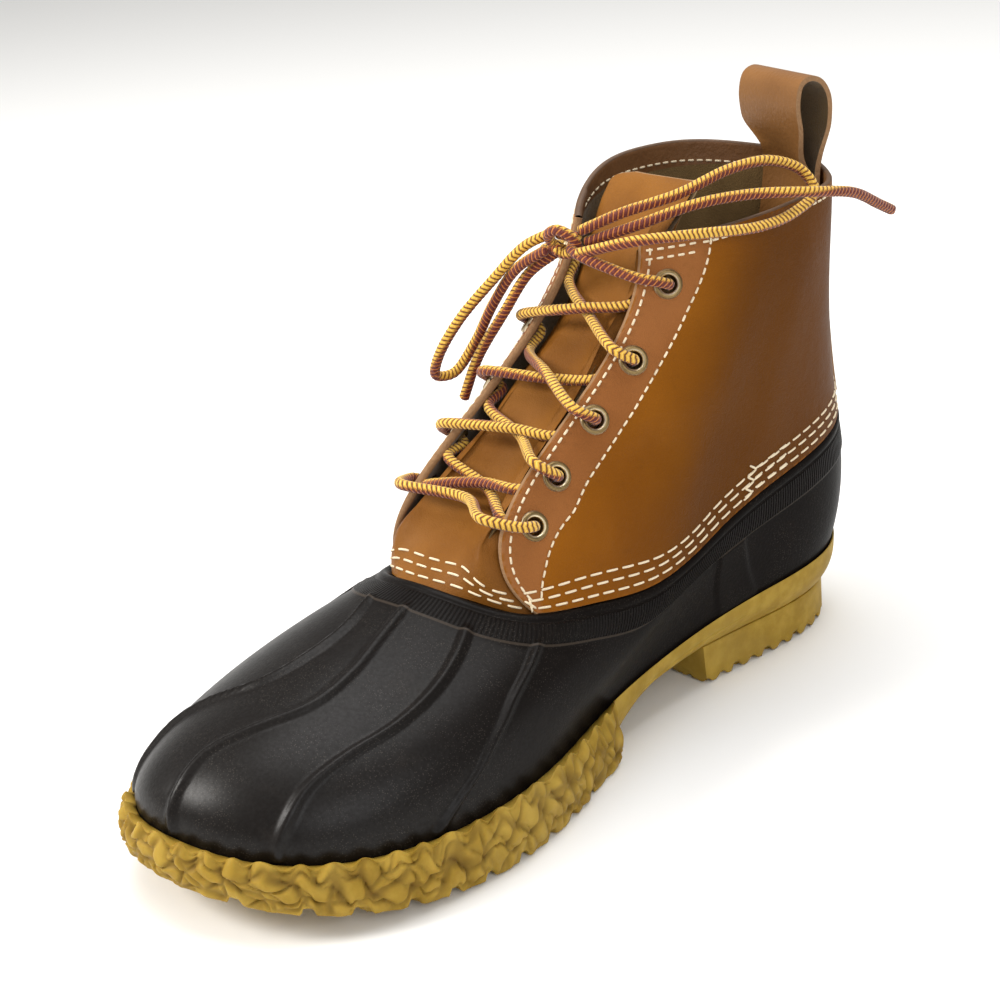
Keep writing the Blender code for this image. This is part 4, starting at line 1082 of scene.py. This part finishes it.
# Pull loop: a folded strap of brown leather, stiff enough to stand. Its ends are sewn one on the other inside
# the back of the collar.
LOOP_WIDTH = 0.035
LOOP_WALL = 0.0018
LOOP_RISE = 0.031
LOOP_TAIL = 0.026
LOOP_PLACE = 0.499
LOOP_PATH = table("depth rise", [
    (0.035, -1.00),
    (0.035, -0.50),
    (0.035, -0.10),
    (0.01, 0.20),
    (-0.06, 0.50),
    (-0.06, 0.78),
    (0.04, 0.95),
    (0.17, 1.00),
    (0.29, 0.95),
    (0.35, 0.76),
    (0.33, 0.50),
    (0.25, 0.20),
    (0.108, -0.10),
    (0.108, -0.50),
    (0.108, -0.96),
])
across = np.linspace(-1, 1, 31)
line = skin(LOOP_PLACE + np.linspace(-0.06, 0.06, 41), [SHAFT_HEIGHT], 0)[:, 0]
loop_run = distance_run(line)
loop_run -= loop_run[20]
loop_places = LOOP_PLACE + np.interp(across * LOOP_WIDTH / 2, loop_run, np.linspace(-0.06, 0.06, 41))
loop_length = leather_length(loop_places)
loop_inside = LEATHER_PROUD - LEATHER_WALL - GAP
rim = skin(loop_places, loop_length[:, None], loop_inside)[:, 0]
into = skin(loop_places, loop_length[:, None], loop_inside - 0.001)[:, 0] - rim
into[:, 2] = 0
into = unit(into)
flat_into = into[15]
across_way = np.cross([0, 0, 1.0], flat_into)
flat_rim = rim[15] + flat_into * 0.002 + np.outer(
    -across * LOOP_WIDTH / 2 * np.sign(np.dot(across_way, rim[0] - rim[-1])), across_way)


def loop_row(depth, rise, shift):
    """A row across the strap, moved along the strap's own face normal."""
    depth, rise = depth + shift[0] + LOOP_WALL / 2, rise + shift[1]
    if rise < 0:
        return skin(loop_places, (loop_length + rise)[:, None], loop_inside - depth)[:, 0]
    k = min(rise / (0.5 * LOOP_RISE), 1)
    k = k * k * (3 - 2 * k)
    return rim * (1 - k) + flat_rim * k + (into * (1 - k) + flat_into * k) * depth + np.array([0, 0, rise])


loop_path = np.stack([LOOP_PATH["depth"] * LOOP_RISE,
                      np.where(LOOP_PATH["rise"] > 0, LOOP_RISE, LOOP_TAIL) * LOOP_PATH["rise"],
                      0 * LOOP_PATH["rise"]], axis=1)
loop_path = smooth(loop_path, 0.0011)[0][:, :2]
loop_way = unit(np.gradient(loop_path, axis=0))
loop_normal = np.stack([-loop_way[:, 1], loop_way[:, 0]], axis=1) * LOOP_WALL / 2
loop_outer, loop_inner = (
    np.array([loop_row(*p, n * sign) for p, n in zip(loop_path, loop_normal)]) for sign in (1, -1))
strap = Finish("brown_strap_leather")
brown_strap_leather = strap.set(
    Base_Color=strap.mix(strap.noise(60, 4), (0.165, 0.070, 0.020), (0.250, 0.115, 0.036)), Roughness=0.45,
    Specular_IOR_Level=0.12, Coat_Weight=0.1, Coat_Roughness=0.35,
    Normal=strap.bump(strap.noise(700, 5), 0.0003))
pull_loop = piece("pull_strap", strip_patches(loop_outer, loop_inner),
                  [brown_strap_leather, khaki_flesh_side, raw_edge], sharp=50)
stand_for(pull_loop, "pull_loop")

# Stitches: cream thread, about 0.8 mm thick, sewn along the throat, the front panel, the collar and, in three
# rows, through the leather's foot and the rubber's flange.
THREAD = 0.00042
TACK_HEIGHT = 0.0070
TACK_LONG = 0.0110
TACK_WIDE = 0.0045
TACK_TEETH = 6
THROAT_SEAM = 0.0028
CORNER_SEAMS = (0.0032, 0.0062)
COLLAR_SEAM = 0.0035
INSIDE_SEAM = 0.0068
FOOT_SEAMS = (0.0030, 0.0065, 0.0098)
LOOP_SEAMS = (0.0060, 0.0088)


def stitch_patches(line, lifts, long, gap):
    """Little arched threads along a seam whose line and outward ways are given."""
    run = distance_run(line)
    made = []
    count = int((run[-1] - gap) / (long + gap))
    angle = np.arange(6) * math.pi / 3
    for k in range(count):
        s = (k + 0.5) * run[-1] / count + np.array([-0.52, -0.42, -0.18, 0.18, 0.42, 0.52]) * long
        centre, up = along(s, run, line), unit(along(s, run, lifts))
        side = unit(np.cross(np.gradient(centre, axis=0), up))
        thick = THREAD * np.array([0.45, 0.9, 1, 1, 0.9, 0.45])[:, None, None]
        centre = centre + up * (THREAD * np.array([-0.9, 0.15, 0.35, 0.35, 0.15, -0.9]))[:, None]
        wide = side[:, None] * np.cos(angle)[None, :, None] * 0.95
        tall = up[:, None] * np.sin(angle)[None, :, None] * 0.8
        made.append((centre[:, None] + thick * (wide + tall), True, 0, None))
    return made


def seam(places, heights, long=0.0024, gap=0.0009, on=leather_face):
    """A seam on the leather through places and heights in metres."""
    heights = np.reshape(heights, (-1, 1))
    line, above_it = (on(places, heights, lift)[:, 0] for lift in (0.0, 0.001))
    return stitch_patches(line, above_it - line, long, gap)


def on_tongue(place, height, lift):
    return skin(place, height, tongue_face + lift)


def on_backstay(place, height, lift):
    return leather_face(place, height, lift + GAP + STAY_WALL)


def inside_collar(place, height, lift):
    return leather_face(place, height, -LEATHER_WALL - lift)


def tack(place, slant):
    """A zigzag back tack across the foot's rows."""
    at, beside, above_it, off = (
        leather_face(np.array([place + p]), np.array([[TACK_HEIGHT + h]]), lift)[0, 0]
        for p, h, lift in ((0, 0, 0), (0.002, 0, 0), (0, 0.001, 0), (0, 0, 0.001)))
    way, x, y = (unit(v - at) for v in (off, beside, above_it))
    x, y = x * math.cos(slant) + y * math.sin(slant), y * math.cos(slant) - x * math.sin(slant)
    corners = [at + way * 0.0002 + x * (k / TACK_TEETH - 0.5) * TACK_LONG + y * (0.5 - k % 2) * TACK_WIDE
               for k in range(TACK_TEETH + 1)]
    made = []
    for one, other in zip(corners, corners[1:]):
        line = one + (other - one) * np.linspace(0, 1, 6)[:, None]
        ways = np.repeat(way[None], 6, axis=0)
        made += stitch_patches(line, ways, np.linalg.norm(other - one) * 0.93, 0.0001)
    return made


stitched = []
for edge in (THROAT_INNER, THROAT_OUTER):
    up_it = np.linspace(0.045, 0.985, 90)
    for distance in (THROAT_SEAM + 0 * up_it, facing_width(up_it)):
        places = np.array([seam_place(edge, s, d) for s, d in zip(up_it, distance)])
        stitched += seam(places, up_it * leather_length(places))
    way = 1 if edge < 0.5 else -1
    for drop in CORNER_SEAMS:
        corner = edge + way * np.linspace(0.004, 0.062, 30)
        stitched += seam(corner, leather_length(corner) - drop)
collar_places = np.linspace(THROAT_INNER + 0.066, THROAT_OUTER - 0.066, 160)
stitched += seam(collar_places, leather_length(collar_places) - COLLAR_SEAM)
for height in FOOT_SEAMS:
    quarter = np.linspace(THROAT_INNER + 0.004, THROAT_OUTER - 0.004, 260)
    stitched += seam(quarter, height + 0 * quarter, long=0.0050, gap=0.0015)
    foot = np.linspace(-THROAT_INNER + 0.004, THROAT_INNER - 0.004, 140)
    stitched += seam(foot, height + 0 * foot, long=0.0050, gap=0.0015, on=on_tongue)
stitched += tack(0.405, 1.30)
for height in np.array(FOOT_SEAMS) + 0.0004:
    sewn_twice = np.linspace(0.407, 0.430, 30)
    stitched += seam(sewn_twice, height + 0 * sewn_twice, long=0.0042, gap=0.0014)
stitched += tack(0.595, 1.80)
for shift in (-0.011, 0.011):
    high = np.linspace(0.006, float(leather_length(np.array([0.5]))[0]) - 0.006, 120)
    stitched += seam(0.5 + shift + 0 * high, high, on=on_backstay)
for edge in (THROAT_INNER, THROAT_OUTER):
    star = over_leather(edge, 0.035, 0.001, 0.0002)
    for turn in np.arange(4) * math.pi / 4:
        side = unit(np.cross(star[1], (0, 0, 1.0)))
        up = np.cross(side, star[1])
        reach = (side * math.cos(turn) + up * math.sin(turn)) * 0.0024
        line = star[0] + np.linspace(-1, 1, 6)[:, None] * reach
        stitched += stitch_patches(line, np.repeat(star[1][None], 6, axis=0), 0.0046, 0.0001)
for below in LOOP_SEAMS:
    front_leg = len(loop_path) // 2
    i = int(np.argmin(np.abs(loop_path[front_leg:, 1] + below))) + front_leg
    stitched += stitch_patches(loop_inner[i], loop_inner[i] - loop_outer[i], 0.0021, 0.0010)
for edge_places in (np.linspace(0.20, 0.465, 90), np.linspace(0.535, 0.80, 90)):
    stitched += seam(edge_places, leather_length(edge_places) - INSIDE_SEAM, on=inside_collar)
thread = Finish("cream_thread")
cream_thread = thread.set(
    Base_Color=thread.mix(thread.noise(2500, 2), (0.60, 0.47, 0.29), (0.90, 0.79, 0.59)), Roughness=0.8)
stitches = piece("stitches", stitched, [cream_thread], weld=False, sharp=180)
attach(stitches, "root")

# Eyelets: ten rolled rings of antiqued brass, set through the leather from outside, with the inner lip, and
# faintly the flange's edge, painted bright.
EYELET_BORE = 0.0029
EYELET_BARREL = 0.0033
EYELET_FLANGE = 0.0050
EYELET_RISE = 0.0011
ring_profile, _ = smooth([
    (EYELET_FLANGE, 0, 0.0001),
    (EYELET_FLANGE - 0.0002, 0, 0.0006),
    (0.0043, 0, EYELET_RISE),
    (0.0036, 0, EYELET_RISE),
    (0.0031, 0, 0.0008),
    (EYELET_BORE, 0, 0.0002),
    (EYELET_BORE, 0, -0.0034),
], 0.00016)
back_profile = np.array([(EYELET_BARREL, 0, -0.0034), (EYELET_BARREL, 0, 0.0001), (EYELET_FLANGE, 0, 0.0001)])
brass = Finish("antique_brass")
bright = brass.mark("bright")
brass_dark = brass.mix(brass.noise(500, 4), (0.120, 0.078, 0.028), (0.270, 0.185, 0.080))
antique_brass = brass.set(
    Base_Color=brass.mix(bright.clamp(), brass_dark, (0.88, 0.78, 0.56)), Metallic=0.9,
    Roughness=0.28 + brass.noise(800, 3) * 0.16, Normal=brass.bump(brass.noise(900, 3), 0.00008))
EYELET_TURNS = 48
turns = np.arange(EYELET_TURNS) * 2 * math.pi / EYELET_TURNS
lathe = np.concatenate([ring_profile, back_profile])
ring_grid = np.stack(
    [lathe[:, :1] * np.cos(turns), lathe[:, :1] * np.sin(turns), lathe[:, 2:] + 0 * turns], axis=-1)
bright_rows = (np.exp(-((lathe[:, 0] - 0.0032) / 0.00028) ** 2) * (lathe[:, 2] > 0.0004)
               + 0.45 * np.exp(-((lathe[:, 0] - 0.0049) / 0.0002) ** 2))
for side, spots in eyelet_spots.items():
    for number, (at, way) in enumerate(spots, 1):
        turned = np.array(Vector(way).to_track_quat("Z", "Y").to_matrix())
        grid = ring_grid @ turned.T + at
        eyelet = piece(f"brass_eyelet_{side}_{number}", [(grid, True, 0, None)], [antique_brass], sharp=70,
                       marks={"bright": np.repeat(bright_rows[:, None], EYELET_TURNS, axis=1)})
        stand_for(eyelet, f"eyelet_{side}_{number}")

# Laces over the throat: a round braid of golden yellow and dark red yarn, two halves of one lace. From the
# bottom bar each goes down an eyelet, crosses under the edges, comes up the next eyelet, crosses over its own
# edge and dives under the other, up to the knot.
LACE_WIDTH = 0.0036
YARN_STEP = 0.0017
YARN_RISE = 0.00022
ROUND_END = 0.0008
LACE_SIDES = 18
LACE_STEP = 0.00045


def lace_patches(route, turn):
    """A braided tube along a route. Its yarns stand out a little, and its red side turns slowly round it."""
    line, run = smooth(route, LACE_STEP)
    way = unit(np.gradient(line, axis=0))
    side = np.cross(way[0], (0.3, 0.2, 1.0))
    frames = []
    for each in way:
        side = unit(side - each * (side @ each))
        frames.append((side, np.cross(each, side)))
    sides, ups = (np.array(part) for part in zip(*frames))
    round_it = np.arange(LACE_SIDES) / LACE_SIDES
    up, down = (run[:, None] / YARN_STEP + k * round_it * 4 for k in (1, -1))
    yarn = np.maximum(np.abs((up % 1) * 2 - 1), np.abs((down % 1) * 2 - 1))
    rounded_end = np.sqrt(np.clip(np.minimum(run, run[-1] - run) / ROUND_END, 0, 1))[:, None]
    radius = (LACE_WIDTH / 2 + YARN_RISE * (yarn - 0.8)) * rounded_end
    angle = 2 * math.pi * round_it
    grid = line[:, None] + radius[..., None] * (
        np.cos(angle)[:, None] * sides[:, None] + np.sin(angle)[:, None] * ups[:, None])
    outward_way = np.array((0.05, -0.15, 1.0))
    gold_at = np.unwrap(np.arctan2(ups @ outward_way, sides @ outward_way)) / (2 * math.pi)
    wander = 0.09 * np.sin(run / 0.017 + 9 * turn) + 0.05 * np.sin(run / 0.007 + turn)
    chart = np.stack(np.broadcast_arrays(
        run[:, None], np.append(round_it, 1)[None] - gold_at[:, None] + wander[:, None] + turn + 10), axis=-1)
    return (grid, True, 0, chart)


lace = Finish("braided_lace")
lace_run, lace_round = lace.chart()
chevron = (lace_run / YARN_STEP + lace_round.wave() * 1.5).wave()
yarns_down, yarns_up = ((lace_run / YARN_STEP + lace_round * turn).wave() for turn in (-4, 4))
yarn_top = yarns_down.math("MAXIMUM", yarns_up)
red_side = (lace_round.wave() + (chevron - 0.5) * 0.22).step(0.42, 0.50)
# Painted shade darkens the chevron lines between the yarns on both colours, and a painted highlight lightens
# the gold yarns' crests.
gold = lace.mix(chevron.step(0.18, 0.50), (0.120, 0.030, 0.003), (0.72, 0.40, 0.035))
gold = lace.mix(chevron.step(0.70, 0.95) * 0.7, gold, (0.86, 0.60, 0.14))
red = lace.mix(chevron.step(0.66, 0.84), (0.110, 0.010, 0.006), (0.50, 0.16, 0.022))
lace_yarn = lace.set(
    Base_Color=lace.mix(red_side, gold, red), Roughness=0.72, Sheen_Weight=0.25, Sheen_Roughness=0.4,
    Normal=lace.bump(yarn_top + lace.noise(6000) * 0.3, 0.0003))

def lace_piece(name, patches):
    return piece(name, patches, [lace_yarn], weld=False, sharp=180)


def throat_point(side, share, distance, lift):
    edge = THROAT_INNER if side == "inner" else THROAT_OUTER
    return over_leather(edge, share, distance, lift)[0]


def front_point(share, lift):
    place = np.zeros(1)
    return skin(place, (share * leather_length(place))[:, None], lift)[0, 0]


lace_routes = []
for first, other, lift in (("inner", "outer", 0.0024), ("outer", "inner", -0.0016)):
    sides = [first, other, first, other, first]
    share = EYELET_SHARES[0]
    route = [front_point(share + 0.012, 0.0030),
             throat_point(first, share + 0.006, -0.006, 0.0030),
             throat_point(first, share, 0.004, 0.0040),
             throat_point(first, share, EYELET_IN - 0.0015, 0.0028),
             throat_point(first, share, EYELET_IN, -0.0010),
             throat_point(first, share, EYELET_IN - 0.001, -0.0046)]
    for k in range(1, 5):
        side, before = sides[k], sides[k - 1]
        low_share, high_share = EYELET_SHARES[k - 1], EYELET_SHARES[k]
        span = high_share - low_share
        if k == 1:
            route += [throat_point(before, low_share + 0.2 * span, 0.0, -0.0038),
                      front_point(low_share + 0.52 * span, -0.0026 if lift > 0 else 0.0012)]
        else:
            route += [throat_point(before, low_share + 0.10 * span, 0.0045, 0.0040),
                      throat_point(before, low_share + 0.24 * span, -0.0010, 0.0036),
                      front_point(low_share + 0.58 * span, lift)]
        under = -0.0038 if k == 1 else -0.0044
        route += [throat_point(side, high_share - 0.16 * span, 0.001, under),
                  throat_point(side, high_share, EYELET_IN - 0.002, -0.0048),
                  throat_point(side, high_share, EYELET_IN, -0.0012),
                  throat_point(side, high_share, EYELET_IN - 0.0004, 0.0022)]
    top_side = sides[4]
    sign = 1 if top_side == "inner" else -1
    route += [throat_point(top_side, EYELET_SHARES[4] + 0.015, 0.0050, 0.0042),
              throat_point(top_side, EYELET_SHARES[4] + 0.030, -0.0010, 0.0036),
              (-0.001 + 0.0085 * sign, -0.0618, 0.1590), (-0.001 + 0.002 * sign, -0.0606, 0.1608)]
    lace_routes.append(route)
whole_lace = lace_routes[0][::-1] + lace_routes[1][1:]
crossings = lace_piece("lace_through_eyelets", [lace_patches(whole_lace, 0.10)])
stand_for(crossings, "lace_crossings")

# The knot: the same lace taken once round both loops and pulled down on the top crossing. It is small, limp
# and a little uneven.
KNOT_ROUTE = [
    (0.0030, -0.0560, 0.1575), (-0.0030, -0.0580, 0.1583), (-0.0058, -0.0612, 0.1610),
    (-0.0048, -0.0640, 0.1650), (-0.0005, -0.0642, 0.1672), (0.0030, -0.0622, 0.1655),
    (0.0040, -0.0600, 0.1622), (0.0020, -0.0590, 0.1590), (-0.0025, -0.0600, 0.1580),
    (-0.0050, -0.0625, 0.1600),
]
KNOT_UNDER = [
    (-0.0062, -0.0590, 0.1640), (-0.0020, -0.0590, 0.1640), (0.0020, -0.0590, 0.1635),
    (0.0045, -0.0597, 0.1650),
]
knot = lace_piece("knot", [lace_patches(KNOT_ROUTE, 0.05), lace_patches(KNOT_UNDER, 0.4)])
stand_for(knot, "lace_knot")

# The bow: the rest of the lace, its two loops and two ends held by the knot. It is limp, and it lies over the
# collar and the front of the boot as it fell.
BOW = {
    "lace_loop_right": [
        (0.0043, -0.0594, 0.1660), (0.0140, -0.0490, 0.1710), (0.0245, -0.0330, 0.1750),
        (0.0305, -0.0140, 0.1800), (0.0345, 0.0010, 0.1800), (0.0385, 0.0120, 0.1745),
        (0.0425, 0.0130, 0.1680), (0.0435, 0.0010, 0.1635), (0.0420, -0.0145, 0.1622),
        (0.0362, -0.0350, 0.1640), (0.0250, -0.0545, 0.1645), (0.0057, -0.0624, 0.1595),
    ],
    "lace_end_right": [
        (0.0054, -0.0583, 0.1622), (0.0180, -0.0475, 0.1668), (0.0298, -0.0315, 0.1718),
        (0.0380, -0.0130, 0.1722), (0.0480, 0.0060, 0.1700), (0.0500, 0.0240, 0.1660),
        (0.0490, 0.0380, 0.1590), (0.0480, 0.0470, 0.1545),
    ],
    "lace_loop_left": [
        (-0.0080, -0.0582, 0.1643), (-0.0170, -0.0640, 0.1595), (-0.0250, -0.0720, 0.1490),
        (-0.0330, -0.0820, 0.1360), (-0.0400, -0.0870, 0.1230), (-0.0435, -0.0860, 0.1155),
        (-0.0415, -0.0800, 0.1150), (-0.0360, -0.0740, 0.1250), (-0.0290, -0.0700, 0.1390),
        (-0.0190, -0.0670, 0.1520), (-0.0063, -0.0636, 0.1600),
    ],
    "lace_end_left": [
        (-0.0063, -0.0593, 0.1581), (-0.0165, -0.0640, 0.1500), (-0.0223, -0.0705, 0.1380),
        (-0.0320, -0.0765, 0.1210), (-0.0375, -0.0800, 0.1060),
    ],
}
bow_turns = {"lace_loop_right": 0.04, "lace_end_right": 0.10, "lace_loop_left": 0.06, "lace_end_left": -0.12}
for bow_name, route in BOW.items():
    cord = lace_piece("bow_" + bow_name[5:], [lace_patches(route, bow_turns[bow_name])])
    stand_for(cord, bow_name)
    line, run = smooth(route, 0.002)
